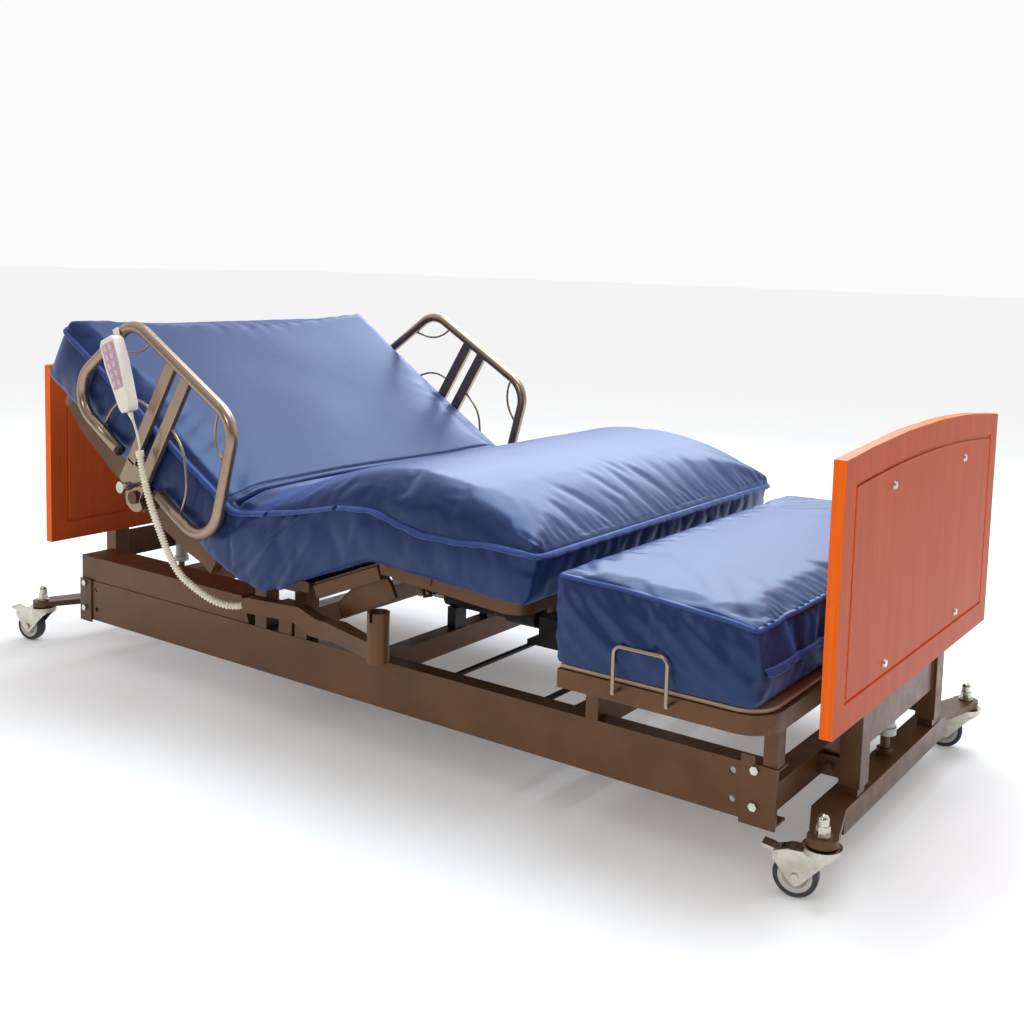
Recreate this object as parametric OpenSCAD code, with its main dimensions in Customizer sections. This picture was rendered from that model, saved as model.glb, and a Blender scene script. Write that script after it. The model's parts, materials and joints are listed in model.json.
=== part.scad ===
// Adjustable hospital bed with a low base, a raised back and knee, and a separate foot section.
// X runs from the head to the foot, Y across the bed, Z up from the floor; the origin is on the
// floor under the middle of the bounding box. Millimetres.

/* [Base] */
// Floor to the underside of the side channels, with the bed at its lowest
channel_bottom = 105; // [100:1:120]
// Height of the side channels
channel_h = 99; // [90:1:110]
// Distance between the outer faces of the two side channels
channel_span = 840; // [800:2:860]
// Travel of the lifting columns
lift_travel = 380; // [300:5:380]

/* [Boards] */
// Width of the headboard and footboard
board_w = 882; // [860:2:900]
// Thickness of the headboard and footboard
board_t = 22; // [18:1:22]
// Height of a board at its sides
board_side_h = 451; // [430:1:460]
// Rise of the arched top edge above the sides
board_arch = 22; // [15:1:30]
// Floor to the lower edge of the boards
board_bottom = 284; // [280:1:300]

/* [Deck] */
// Angle of the back section as it stands
back_angle = 32; // [20:1:45]
// Angle of the thigh section as it stands
thigh_angle = 22; // [15:1:30]
// Slope of the calf section down towards the foot, as it stands
calf_angle = 4; // [3:1:6]
// Width of the back section's side bands, outer face to outer face
deck_w = 964; // [940:2:970]

/* [Mattress] */
// Width of the mattress sections
mattress_w = 1006; // [960:2:1010]
// Thickness of the mattress
mattress_t = 160; // [150:1:164]

/* [Casters] */
// Diameter of a caster wheel
wheel_d = 76; // [72:1:80]
// Horizontal offset from a caster's stem to its wheel centre
trail = 40; // [34:1:42]
// Direction that the casters trail in, measured from the bed's length
caster_heading = 12; // [0:1:40]

/* [Side rails] */
// Diameter of the side rail tube
rail_d = 26; // [22:1:28]
// Distance from the bed's middle plane to the side rail tube's centre
rail_y = 525; // [522:1:530]

/* [Hidden] */
$fn = 48;
running = 0.06;
gap = 0.6;

// Side channels and frame
channel_x0 = -856;
channel_x1 = 1028;
channel_top = channel_bottom + channel_h;
channel_y = channel_span / 2;
channel_wall = 4;
channel_flange = 40;

// Columns and base beams
foot_column_x = 1082;
head_column_x = -991;
foot_rod_x = foot_column_x - 16;
head_rod_x = head_column_x + 2;
column_y = 212;
column_x_size = 40;
column_y_size = 44;
column_bottom = 126;
column_h = 474;
beam_w = 54;
beam_bottom = 66;
beam_top = 110;
beam_half = 292;
arm_t = 14;

// Casters: near head, far head, near foot, far foot
stem_head_x = -1040;
stem_foot_x = 1105;
stem_y = 407;
stems = [[stem_head_x, -stem_y], [stem_head_x, stem_y], [stem_foot_x, -stem_y], [stem_foot_x, stem_y]];
stem_r = 8;
wheel_r = wheel_d / 2;
core_r = wheel_r - 9;
wheel_half_w = 12;
axle_r = 4;
race_r = 33;
pedal_pivot = [-trail - 32, 70];
pedal_pin_r = 3;
pedal_reach = 97.3;

// Boards
head_board_x = -971;
foot_board_x = 1102;
board_bolt_y = 208;
board_bolt_z = [board_bottom + 69, board_bottom + 382];
groove_inset = 46;
groove_w = 7;
groove_depth = 3;

// Deck pivots
pivot_z = 335;
hip_x = -247;
hip_z = 365;
hip_offset = [9, -30];
thigh_x = -40;
thigh_l = 237;
knee = [thigh_x + thigh_l * cos(thigh_angle), pivot_z + thigh_l * sin(thigh_angle)];
back_l = 700;
calf_l = 345;
hinge_r = 9;
sleeve_r = 12;
hinge_clear = 16;
band_wall = 26;
band_h = 36;
deck_inner_w = 910;

// Pads
pad_lift = 8;
pad_bottom = pivot_z + pad_lift;
pad_top = pad_bottom + mattress_t;
back_pad_l = 704;

// Foot section
foot_x0 = 630;
foot_x1 = 1035;
foot_band_z = 276;
foot_band_h = 34;

// Side rails, in the back section's plane: along the back from the hip pivot, then outwards
rail_pivot = [280, -12];
rail_loop = [[-226, 42], [-18, 42], [-108, 332], [-497, 322], [-612, 41], [-383, 41]];
rail_bend = 55;
rail_bars = [-278, -335];
rail_wires = [
    [[-270, 197], [-205, 180], [-150, 110], [-140, 44]],
    [[-459, 42], [-455, 120], [-400, 182], [-340, 190]],
    [[-165, 328], [-152, 262], [-84, 232]],
    [[-420, 324], [-440, 262], [-534, 232]]];
wire_r = 3;
pivot_pin_r = 10;
latch_z = 26;
latch_r = 6;
hub_y = rail_y - 5;

// Actuators
crank_r = 110;
knee_crank_r = 90;
back_actuator_y = 60;
knee_actuator_y = -60;
actuator_rod_r = 10;

// Sockets for an assist handle
socket_x = 238;
socket_y = 526;
socket_r = 22;
socket_bore_r = 17;
socket_z0 = 248;
socket_z1 = 347;
socket_arm_y = 486;
socket_arm_w = 28;

// Hand pendant
pendant_top = [-541, 832];
pendant_lean = 23;
pendant_l = 172;
pendant_y = -560;

// Routes of the pendant's cord and its corrugated conduit
cord_route = [
    [-473, -560, 670], [-466, -560, 659], [-459, -560, 647], [-453, -560, 635],
    [-448, -560, 622], [-445, -559, 611], [-445, -557, 602], [-448, -554, 594], [-452, -552, 588]];
conduit_route = [
    [-451, -552, 585], [-448, -552, 568], [-442, -552, 546], [-435, -552, 524], [-427, -552, 502],
    [-417, -552, 480], [-406, -552, 458], [-394, -552, 436], [-381, -552, 414], [-367, -552, 391],
    [-351, -552, 368], [-333, -551, 346], [-314, -547, 325], [-295, -538, 308], [-276, -527, 292],
    [-258, -513, 277], [-241, -498, 267], [-224, -484, 263], [-208, -475, 265], [-199, -471, 268]];
cord_r = 2.5;
conduit_r = 8.5;

// ---- Helpers ----

function unit(v) = v / norm(v);

function ring(route, i, r, sides) =
    let (
        t = unit(route[min(i + 1, len(route) - 1)] - route[max(i - 1, 0)]),
        a = unit(cross(t, [0, 1, 0])),
        b = cross(a, t))
    [for (k = [0:sides - 1]) route[i] + r * (cos(360 * k / sides) * a + sin(360 * k / sides) * b)];

// A round tube swept along a route as one closed solid
module swept_tube(route, r, sides) {
    rings = len(route);
    last = (rings - 1) * sides;
    points = [for (i = [0:rings - 1]) each ring(route, i, r, sides)];
    walls = [for (i = [0:rings - 2]) for (k = [0:sides - 1])
        [i * sides + k, i * sides + (k + 1) % sides,
         (i + 1) * sides + (k + 1) % sides, (i + 1) * sides + k]];
    start_cap = [[for (k = [sides - 1:-1:0]) k]];
    end_cap = [[for (k = [0:sides - 1]) last + k]];
    polyhedron(points = points, faces = concat(start_cap, walls, end_cap));
}

// A round rod between two points
module rod(a, b, r) {
    d = b - a;
    translate(a)
        rotate([0, acos(d.z / norm(d)), atan2(d.y, d.x)])
            cylinder(h = norm(d), r = r);
}

// One bend of a tube path that lies in the XY plane
module bend(a, b, c, bend_r, r) {
    u = unit(a - b);
    v = unit(c - b);
    half = acos(u * v) / 2;
    centre = b + unit(u + v) * bend_r / sin(half);
    p = b + u * bend_r / tan(half) - centre;
    q = b + v * bend_r / tan(half) - centre;
    from = p.x * q.y - p.y * q.x > 0 ? p : q;
    translate([centre.x, centre.y, 0])
        rotate([0, 0, atan2(from.y, from.x)])
            rotate_extrude(angle = 180 - 2 * half)
                translate([bend_r, 0]) circle(r = r);
}

function trim(a, b, c, bend_r) =
    let (u = unit(a - b), v = unit(c - b))
    bend_r / tan(acos(u * v) / 2);

// A bent tube along points in the XY plane, with open ends
module tube_path(points, bend_r, r) {
    n = len(points);
    for (i = [0:n - 2]) {
        d = unit(points[i + 1] - points[i]);
        cut0 = i == 0 ? 0 : trim(points[i - 1], points[i], points[i + 1], bend_r);
        cut1 = i == n - 2 ? 0 : trim(points[i], points[i + 1], points[i + 2], bend_r);
        a = points[i] + d * cut0;
        b = points[i + 1] - d * cut1;
        rod([a.x, a.y, 0], [b.x, b.y, 0], r);
    }
    for (i = [1:n - 2])
        bend(points[i - 1], points[i], points[i + 1], bend_r, r);
}

// A block given by its lowest and highest corners
module block(lo, hi) {
    translate(lo) cube(hi - lo);
}

module both_sides() {
    children();
    mirror([0, 1, 0]) children();
}

module on_side(side) {
    if (side < 0) children();
    else mirror([0, 1, 0]) children();
}

// A rectangle from x0 to x1 whose corners at x1 are rounded
module round_ended(x0, x1, w, r) {
    translate([x0, -w / 2]) square([x1 - x0 - r, w]);
    translate([x0, -w / 2 + r]) square([x1 - x0, w - 2 * r]);
    for (s = [-1, 1]) translate([x1 - r, s * (w / 2 - r)]) circle(r = r);
}

// A band bent round the sides and the far end of a deck section
module deck_band(x0, x1, w, wall, r, h) {
    linear_extrude(h) difference() {
        round_ended(x0, x1, w, r);
        round_ended(x0 - 1, x1 - wall, w - 2 * wall, r - wall);
    }
}

// A profile in the XZ plane, extruded across the bed from y0 to y1
module across(y0, y1) {
    translate([0, y1, 0]) rotate([90, 0, 0]) linear_extrude(y1 - y0) children();
}

module at_hip() {
    translate([hip_x, 0, hip_z]) rotate([0, back_angle, 0]) children();
}

// The back section's deck plane, which lies below its hinge
module at_back() {
    at_hip() translate([hip_offset.x, 0, hip_offset.y]) children();
}

module at_thigh() {
    translate([thigh_x, 0, pivot_z]) rotate([0, -thigh_angle, 0]) children();
}

module at_calf() {
    translate([knee.x, 0, knee.y]) rotate([0, calf_angle, 0]) children();
}

// ---- Bases and casters ----

// Beam, inner posts and splayed caster arms of one end
module base(column_x, beam_x, stem_x) {
    out = sign(column_x);
    beam_x0 = beam_x - beam_w / 2;
    beam_x1 = beam_x + beam_w / 2;
    color("#4a3b33") {
        difference() {
            block([beam_x0, -beam_half, beam_bottom], [beam_x1, beam_half, beam_top]);
            both_sides()
                block([beam_x0 + 4, -beam_half - 1, beam_bottom + 4],
                      [beam_x1 - 4, -beam_half + 30, beam_top - 4]);
        }
        both_sides() {
            block([column_x - column_x_size / 2 + 5, column_y - column_y_size / 2 + 5, beam_top],
                  [column_x + column_x_size / 2 - 5, column_y + column_y_size / 2 - 5,
                   column_bottom + column_h - 20]);
            difference() {
                union() {
                    translate([0, 0, beam_top - arm_t]) linear_extrude(arm_t)
                        polygon([[beam_x - out * beam_w / 2, beam_half - 40],
                                 [beam_x + out * beam_w / 2, beam_half - 40],
                                 [beam_x + out * beam_w / 2, beam_half - 4],
                                 [stem_x + out * 22, stem_y - 14],
                                 [stem_x - out * 22, stem_y + 6],
                                 [beam_x - out * beam_w / 2, beam_half + 18]]);
                    translate([stem_x, stem_y, beam_top - arm_t]) cylinder(h = arm_t, r = 26);
                }
                translate([stem_x, stem_y, 0]) cylinder(h = 200, r = stem_r + running);
            }
        }
    }
}

module foot_base() {
    base(foot_column_x, foot_column_x - 10, stem_foot_x);
    lift_rod(foot_rod_x);
}

module head_base() {
    base(head_column_x, head_column_x, stem_head_x);
    lift_rod(head_rod_x);
}

// Rod of the upright actuator, standing on the base beam
module lift_rod(x) {
    color("silver") {
        translate([x, 0, beam_top]) cylinder(h = lift_travel + 40, r = 9);
        translate([x, 0, beam_top]) cylinder(h = 12, r = 15);
    }
}

// A caster stands with its stem on the local Z axis and trails towards local -X
module at_caster(i) {
    translate([stems[i - 1].x, stems[i - 1].y, 0]) rotate([0, 0, caster_heading]) children();
}

module caster_fork(i) {
    color("silver") at_caster(i) {
        difference() {
            union() {
                translate([0, 0, 84]) cylinder(h = 10, r = race_r);
                block([-trail - 12, -17, 80], [24, 17, 84]);
                for (s = [-1, 1])
                    across(s < 0 ? -17 : 14, s < 0 ? -14 : 17)
                        polygon([[24, 80], [10, 70], [-trail + 9, 26], [-trail, 22], [-trail - 10, 30],
                                 [pedal_pivot.x - 7, 66], [pedal_pivot.x - 5, 76],
                                 [-trail - 12, 84], [24, 84]]);
            }
            translate([pedal_pivot.x, 30, pedal_pivot.y])
                rotate([90, 0, 0]) cylinder(h = 60, r = pedal_pin_r + running);
        }
        translate([0, 0, 94]) cylinder(h = 24, r = stem_r);
        translate([0, 0, beam_top + gap]) cylinder(h = 3, r = 15);
        translate([0, 0, beam_top + gap + 3]) cylinder(h = 15, r = 12, $fn = 6);
        translate([0, 0, beam_top + gap + 18]) cylinder(h = 10, r = 9.5);
        translate([0, 0, beam_top + gap + 28]) sphere(r = 9.5);
        translate([-trail, 17, wheel_r]) rotate([90, 0, 0]) cylinder(h = 34, r = axle_r);
        for (s = [-1, 1])
            translate([-trail, s * 19 + 2, wheel_r]) rotate([90, 0, 0]) cylinder(h = 4, r = 8, $fn = 6);
    }
}

module caster_hub(i) {
    color("#c9c9c4") at_caster(i) translate([-trail, 0, wheel_r]) rotate([90, 0, 0])
        rotate_extrude() polygon([
            [axle_r + running, -13], [9, -13], [11, -8], [17, -5], [22, -10], [core_r, -11],
            [core_r, 11], [22, 10], [17, 5], [11, 8], [9, 13], [axle_r + running, 13]]);
}

module caster_tyre(i) {
    color("#2b2b2d") at_caster(i) translate([-trail, 0, wheel_r]) rotate([90, 0, 0])
        rotate_extrude() polygon([
            [core_r, -11], [wheel_r - 4, -wheel_half_w], [wheel_r - 1.2, -9], [wheel_r, -5],
            [wheel_r, 5], [wheel_r - 1.2, 9], [wheel_r - 4, wheel_half_w], [core_r, 11]]);
}

module brake_pedal(i) {
    tip = -pedal_reach;
    color("#b9b9b6") at_caster(i) {
        translate([pedal_pivot.x, 13.4, pedal_pivot.y])
            rotate([90, 0, 0]) cylinder(h = 26.8, r = 6);
        translate([pedal_pivot.x, 18, pedal_pivot.y])
            rotate([90, 0, 0]) cylinder(h = 36, r = pedal_pin_r);
        across(-13.4, 13.4)
            polygon([[pedal_pivot.x + 4, 71], [pedal_pivot.x - 8, 74], [tip, 80], [tip + 1, 84],
                     [pedal_pivot.x - 6, 80], [pedal_pivot.x + 2, 76]]);
    }
}

// ---- Fixed frame ----

module side_channel(side) {
    color("#43352e") on_side(side) {
        difference() {
            block([channel_x0, -channel_y, channel_bottom],
                  [channel_x1, -channel_y + channel_flange, channel_top]);
            block([channel_x0 - 1, -channel_y + channel_wall, channel_bottom + channel_wall],
                  [channel_x1 + 1, -channel_y + channel_flange + 1, channel_top - channel_wall]);
            for (x = [channel_x0 + 62, channel_x1 - 82], z = [channel_bottom + 28, channel_top - 20])
                translate([x, -channel_y + channel_wall + 1, z])
                    rotate([90, 0, 0]) cylinder(h = channel_wall + 2, r = 6);
        }
        block([channel_x1 - 66, -channel_y - 4, channel_bottom - 6],
              [channel_x1, -channel_y, channel_top + 2]);
        block([channel_x1 - 66, -channel_y - 4, channel_top + 2],
              [channel_x1 - 40, -channel_y, channel_top + 16]);
        block([channel_x0, -channel_y - 4, channel_bottom - 6],
              [channel_x0 + 44, -channel_y, channel_top + 2]);
    }
}

module cross_members() {
    inner = channel_y - channel_wall;
    color("#3d302a")
        for (x = [channel_x0 + 6, -330, 40, 560, channel_x1 - 46])
            difference() {
                block([x, -inner, 128], [x + 40, inner, 176]);
                block([x + 3, -inner - 1, 131], [x + 37, inner + 1, 173]);
            }
}

// Clevis plates and pins that join the frame to the lifting columns
module link_brackets() {
    foot_face = foot_column_x - column_x_size / 2;
    head_face = head_column_x + column_x_size / 2;
    color("#4a3b33") both_sides() {
        for (y = [column_y - 17, column_y + 9]) {
            block([channel_x1 - 6, y, 136], [foot_face, y + 8, 170]);
            block([head_face, y, 134], [channel_x0 + 6, y + 8, 172]);
        }
        translate([channel_x1 + 16, column_y + 26, 153]) rotate([90, 0, 0]) cylinder(h = 52, r = 8);
        translate([channel_x0 - 30, column_y + 26, 153]) rotate([90, 0, 0]) cylinder(h = 52, r = 8);
    }
}

module head_covers() {
    y0 = -channel_y + 2;
    color("#43352e") both_sides() difference() {
        across(y0, y0 + 90)
            polygon([[channel_x0, channel_top], [channel_x0, channel_top + 60], [-270, channel_top + 60],
                     [-244, channel_top]]);
        across(y0 + 3, y0 + 87)
            polygon([[channel_x0 + 3, channel_top - 1], [channel_x0 + 3, channel_top + 57],
                     [-272, channel_top + 57], [-248, channel_top - 1]]);
    }
}

// Two outer columns and the plate between them
module columns(x, plate_x0) {
    wall = 3;
    color("#4a3b33") {
        both_sides() difference() {
            block([x - column_x_size / 2, column_y - column_y_size / 2, column_bottom],
                  [x + column_x_size / 2, column_y + column_y_size / 2, column_bottom + column_h]);
            block([x - column_x_size / 2 + wall, column_y - column_y_size / 2 + wall, column_bottom - 1],
                  [x + column_x_size / 2 - wall, column_y + column_y_size / 2 - wall,
                   column_bottom + column_h - wall]);
        }
        block([plate_x0, -column_y + column_y_size / 2, 190],
              [plate_x0 + 4, column_y - column_y_size / 2, 264]);
        block([x - 14, -column_y + column_y_size / 2, column_bottom + column_h - 40],
              [x + 14, column_y - column_y_size / 2, column_bottom + column_h - 10]);
    }
}

module foot_columns() {
    columns(foot_column_x, foot_column_x + 8);
}

module head_columns() {
    columns(head_column_x, head_column_x - column_x_size / 2);
}

// Upright actuator tube, hollow for its rod, hung under the top tie of the columns
module lift_motor(x) {
    top = column_bottom + column_h - 40;
    color("#b5b2ad") difference() {
        union() {
            translate([x, 0, 160]) cylinder(h = top - 160, r = 17);
            translate([x, 0, 150]) cylinder(h = 14, r = 20);
            block([x - 15, -52, 300], [x + 15, -14, 430]);
        }
        translate([x, 0, 140]) cylinder(h = top - 142, r = 9.5);
    }
}

module foot_lift_motor() {
    lift_motor(foot_rod_x);
}

module head_lift_motor() {
    lift_motor(head_rod_x);
}

// Outline of a board in the YZ plane, drawn in with an inset from every edge
module board_outline(inset) {
    half = board_w / 2;
    arc_r = (half * half + board_arch * board_arch) / (2 * board_arch);
    top = board_bottom + board_side_h + board_arch;
    intersection() {
        translate([-half + inset, board_bottom + inset])
            square([board_w - 2 * inset, board_side_h + board_arch]);
        translate([0, top - arc_r]) circle(r = arc_r - inset, $fn = 720);
    }
}

module board(x) {
    color("#b5532a") difference() {
        translate([x, 0, 0]) rotate([90, 0, 90]) linear_extrude(board_t) board_outline(0);
        for (face = [x - 1, x + board_t - groove_depth])
            translate([face, 0, 0]) rotate([90, 0, 90]) linear_extrude(groove_depth + 1) difference() {
                board_outline(groove_inset);
                board_outline(groove_inset + groove_w);
            }
        for (y = [-board_bolt_y, board_bolt_y], z = board_bolt_z)
            translate([x - 1, y, z]) rotate([0, 90, 0]) cylinder(h = board_t + 2, r = 4.2);
    }
}

module headboard() {
    board(head_board_x);
}

module footboard() {
    board(foot_board_x);
}

// Bolts through the boards, and bolts on the outer faces of the channels' end plates
module frame_bolts() {
    color("#d8d8d6") for (y = [-board_bolt_y, board_bolt_y], z = board_bolt_z) {
        translate([foot_board_x, y, z]) rotate([0, 90, 0]) cylinder(h = board_t + 1, r = 4);
        translate([foot_board_x + board_t, y, z]) rotate([0, 90, 0]) cylinder(h = 3.5, r1 = 8, r2 = 6);
        translate([head_board_x, y, z]) rotate([0, 90, 0]) cylinder(h = board_t + 1, r = 4);
        translate([head_board_x + board_t, y, z]) rotate([0, 90, 0]) cylinder(h = 3.5, r1 = 8, r2 = 6);
    }
    color("#b9b7b2") both_sides()
        for (x = [channel_x0 + 20, channel_x1 - 40], z = [channel_bottom + 28, channel_top - 8])
            translate([x, -channel_y - 4, z]) rotate([90, 0, 0]) cylinder(h = 5, r = 8, $fn = 6);
}

module control_box() {
    color("#38383a") {
        block([330, -110, 206], [500, 70, 262]);
        for (y = [-80, -45, -10, 25])
            translate([330, y, 232]) rotate([0, -90, 0]) cylinder(h = 14, r = 9);
        block([300, -416, 190], [312, 416, 196]);
        block([520, -416, 190], [532, 416, 196]);
        block([300, -110, 196], [532, 70, 206]);
    }
}

// Fixed seat section, its uprights and the hinge shafts at the hip and the thigh
module seat_deck() {
    side = deck_inner_w / 2 - 30;
    color("#4a3b33") {
        both_sides() {
            across(side + 16, side + 24)
                polygon([[hip_x - 12, hip_z - 24], [hip_x - 12, hip_z + 8], [hip_x - 6, hip_z + 13],
                         [hip_x + 6, hip_z + 13], [hip_x + 12, hip_z + 8], [hip_x + 18, pivot_z + 7],
                         [thigh_x + 12, pivot_z + 7], [thigh_x + 12, pivot_z - 16],
                         [hip_x + 8, pivot_z - 16]]);
            block([-224, side - 44, channel_top], [-188, side - 6, 312]);
            block([-100, side - 44, channel_top], [-64, side - 6, 312]);
            block([-224, side - 44, 312], [-64, side + 16, 330]);
        }
        block([-218, -side - 16, 330], [-72, side + 16, 338]);
        for (pivot = [[hip_x, hip_z], [thigh_x, pivot_z]])
            translate([pivot.x, side + 24, pivot.y]) rotate([90, 0, 0])
                cylinder(h = 2 * side + 48, r = hinge_r);
    }
}

module foot_deck() {
    post_y = channel_y;
    color("#4a3b33") {
        translate([0, 0, foot_band_z]) deck_band(foot_x0, foot_x1, 976, 28, 62, foot_band_h);
        for (x = [foot_x0, 820]) block([x, -462, foot_band_z], [x + 30, 462, foot_band_z + 24]);
        both_sides() for (x = [650, 1000]) {
            block([x, -post_y, channel_top], [x + 26, -post_y + 30, foot_band_z]);
            block([x, -462, foot_band_z], [x + 26, -post_y + 30, foot_band_z + 14]);
        }
    }
}

module foot_deck_panel() {
    color("#b49a78") translate([0, 0, foot_band_z + foot_band_h]) linear_extrude(8)
        round_ended(foot_x0 + 2, foot_x1 - 8, 964, 56);
}

// Bent wire loops that stop the foot mattress from sliding sideways
module mattress_retainers() {
    color("#5a4a3e") both_sides() {
        translate([0, -512, 0]) rotate([90, 0, 0])
            tube_path([[759, 300], [759, 384], [863, 384], [863, 300]], 14, 3.5);
        for (x = [759, 863]) rod([x, -512, 300], [x, -488, 300], 3.5);
    }
}

// Flattened arm on the channel that swings out to an upright round socket
module assist_socket(side) {
    arm_in = -socket_arm_y + socket_arm_w;
    color("#5b4a3f") on_side(side) {
        difference() {
            union() {
                translate([socket_x, -socket_y, socket_z0])
                    cylinder(h = socket_z1 - socket_z0, r = socket_r);
                across(-socket_arm_y, arm_in)
                    polygon([[-191, 258], [-178, 256], [-40, 264], [10, 244], [70, 242], [70, 280],
                             [30, 282], [-20, 298], [-178, 290], [-191, 286]]);
                translate([0, 0, 248]) linear_extrude(34)
                    polygon([[50, -socket_arm_y], [50, arm_in], [90, arm_in],
                             [socket_x - 6, -socket_y + 16], [socket_x - 12, -socket_y - 8]]);
            }
            translate([socket_x, -socket_y, socket_z0 - 20])
                cylinder(h = socket_z1 - socket_z0 + 30, r = socket_bore_r);
            block([socket_x - 4, -socket_y - 30, socket_z1 - 18],
                  [socket_x + 4, -socket_y - 10, socket_z1 + 1]);
        }
        block([-150, arm_in, 262], [-110, -channel_y + 30, 274]);
        block([-150, -channel_y + 2, channel_top], [-110, -channel_y + 30, 262]);
        translate([-199, -470, 270]) rotate([0, 90, 0]) cylinder(h = 10, r = 12);
    }
}

module foot_pad() {
    color("#27346f") across(-mattress_w / 2, mattress_w / 2)
        polygon([[628, 320], [1020, 320], [1014, 458], [980, 466], [760, 484], [626, 486]]);
}

// ---- Seat, back, thigh and calf sections ----

module seat_pad() {
    hip_edge = hip_x + hinge_clear + 5;
    thigh_edge = thigh_x - hinge_clear;
    color("#27346f") across(-mattress_w / 2, mattress_w / 2)
        polygon([[hip_edge, pad_bottom], [thigh_edge, pad_bottom],
                 [thigh_edge - mattress_t * tan(18), pad_top],
                 [hip_edge + (pad_top - hip_z) * tan(31), pad_top], [hip_edge, hip_z]]);
}

module back_deck() {
    side = deck_inner_w / 2 - 30;
    r = 70;
    color("#4a3b33") at_back() {
        mirror([1, 0, 0]) translate([0, 0, -34]) deck_band(30, back_l, deck_w, band_wall, r, 34);
        both_sides() across(deck_w / 2 - 8, deck_w / 2)
            polygon([[-60, -33], [-640, -33], [-560, -50], [-430, -58], [-260, -58], [-120, -46]]);
        for (x = [-60, -240, -420, -600])
            block([x - 30, -deck_w / 2 + band_wall, -30], [x, deck_w / 2 - band_wall, -4]);
        mirror([1, 0, 0]) translate([0, 0, -3]) linear_extrude(4)
            round_ended(34, back_l - 6, deck_w - 14, r - 6);
    }
    color("#4a3b33") at_hip() {
        both_sides() difference() {
            union() {
                translate([0, side - 8, 0]) rotate([90, 0, 0]) cylinder(h = 50, r = sleeve_r);
                block([-sleeve_r, side - 58, -60], [sleeve_r, side - 8, 0]);
                block([-60, side - 58, -60], [sleeve_r, side - 8, -36]);
            }
            translate([0, side + 1, 0]) rotate([90, 0, 0]) cylinder(h = 70, r = hinge_r + running);
        }
        crank(back_actuator_y, crank_r, back_angle - 31, [-70, -58, -36]);
    }
}

// Pair of lever plates below a hinge sleeve, with a slotted lower end; the root gives how far
// the plates reach back under the deck and between which heights
module crank(y, r, aim, root) {
    for (s = [-1, 1])
        translate([0, y + s * 18 + 3, 0]) rotate([90, 0, 0]) linear_extrude(6) difference() {
            union() {
                polygon([[root[0], root[2]], [root[0], root[1]], [0, root[1]], [0, 0],
                         [-16, root[2] + 10]]);
                rotate(aim) translate([-13, -r - 14]) square([26, r + 8]);
                circle(r = sleeve_r);
            }
            circle(r = hinge_r + running);
            rotate(aim) translate([-6, -r - 7]) square([12, 14]);
        }
}

module back_pad() {
    top = pad_lift + mattress_t;
    edge = -hip_offset.x - hinge_clear - 5;
    color("#27346f") at_back() across(-mattress_w / 2, mattress_w / 2)
        polygon([[edge, pad_lift], [edge, -hip_offset.y],
                 [edge - (top + hip_offset.y) * tan(31), top], [-back_pad_l, top],
                 [-back_pad_l, pad_lift]]);
}

// Brackets on the back section that carry the side rails' pivots
module rail_mounts() {
    color("#54443a") at_back() both_sides() {
        block([-rail_pivot.x - 34, -hub_y + 14, -28], [-rail_pivot.x + 34, -deck_w / 2, -4]);
        translate([-rail_pivot.x, -hub_y + 14, 0]) rotate([90, 0, 0]) linear_extrude(5) rotate(20) {
            translate([0, rail_pivot.y]) circle(r = 34);
            translate([-18, -46]) square([36, 92]);
        }
        translate([-rail_pivot.x, -hub_y + 9, rail_pivot.y])
            rotate([90, 0, 0]) cylinder(h = 24, r = pivot_pin_r);
        translate([-rail_pivot.x, -hub_y - 11, rail_pivot.y])
            rotate([90, 0, 0]) cylinder(h = 6, r = 15);
    }
}

// Points along a path in the XZ plane whose corners are rounded
function rounded(points, r, y) = concat(
    [[points[0].x, y, points[0].y]],
    [for (i = [1:len(points) - 2]) each corner(points[i - 1], points[i], points[i + 1], r, y)],
    [[points[len(points) - 1].x, y, points[len(points) - 1].y]]);

function corner(a, b, c, r, y) =
    let (
        u = unit(a - b),
        v = unit(c - b),
        half = acos(u * v) / 2,
        centre = b + unit(u + v) * r / sin(half),
        p = b + u * r / tan(half) - centre,
        q = b + v * r / tan(half) - centre,
        start = atan2(p.y, p.x),
        turn = 180 - 2 * half,
        way = sign(p.x * q.y - p.y * q.x),
        steps = ceil(turn / 14))
    [for (k = [0:steps]) let (t = start + way * turn * k / steps)
        [centre.x + r * cos(t), y, centre.y + r * sin(t)]];

// Loop of bent tube with two flat uprights, corner wires and a pivot plate
module side_rail(side) {
    color("#7a6350") on_side(side) at_back() {
        swept_tube(rounded(rail_loop, rail_bend, -rail_y), rail_d / 2, 16);
        for (points = rail_wires)
            swept_tube(rounded(points, 24, -rail_y), wire_r, 8);
        for (x = rail_bars)
            across(-hub_y - 9, -hub_y - 1)
                polygon([[x - 13, 44], [x + 13, 44], [x + 8, 330], [x - 18, 330]]);
        difference() {
            translate([-rail_pivot.x, -hub_y - 1, 0]) rotate([90, 0, 0]) linear_extrude(8) {
                translate([0, rail_pivot.y]) circle(r = 34);
                translate([-68, -8]) square([84, 60]);
            }
            translate([-rail_pivot.x, -hub_y + 20, rail_pivot.y])
                rotate([90, 0, 0]) cylinder(h = 60, r = pivot_pin_r + running);
            translate([-rail_pivot.x, -hub_y + 20, latch_z])
                rotate([90, 0, 0]) cylinder(h = 60, r = latch_r + running);
        }
    }
}

// Spring plunger that locks a side rail
module latch_knob(side) {
    color("#8d8d8b") on_side(side) at_back()
        translate([-rail_pivot.x, -hub_y - 2, latch_z]) rotate([90, 0, 0]) {
            cylinder(h = 36, r = latch_r);
            translate([0, 0, 34]) cylinder(h = 22, r = 10);
            translate([0, 0, 56]) cylinder(h = 6, r = 13);
        }
}

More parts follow.
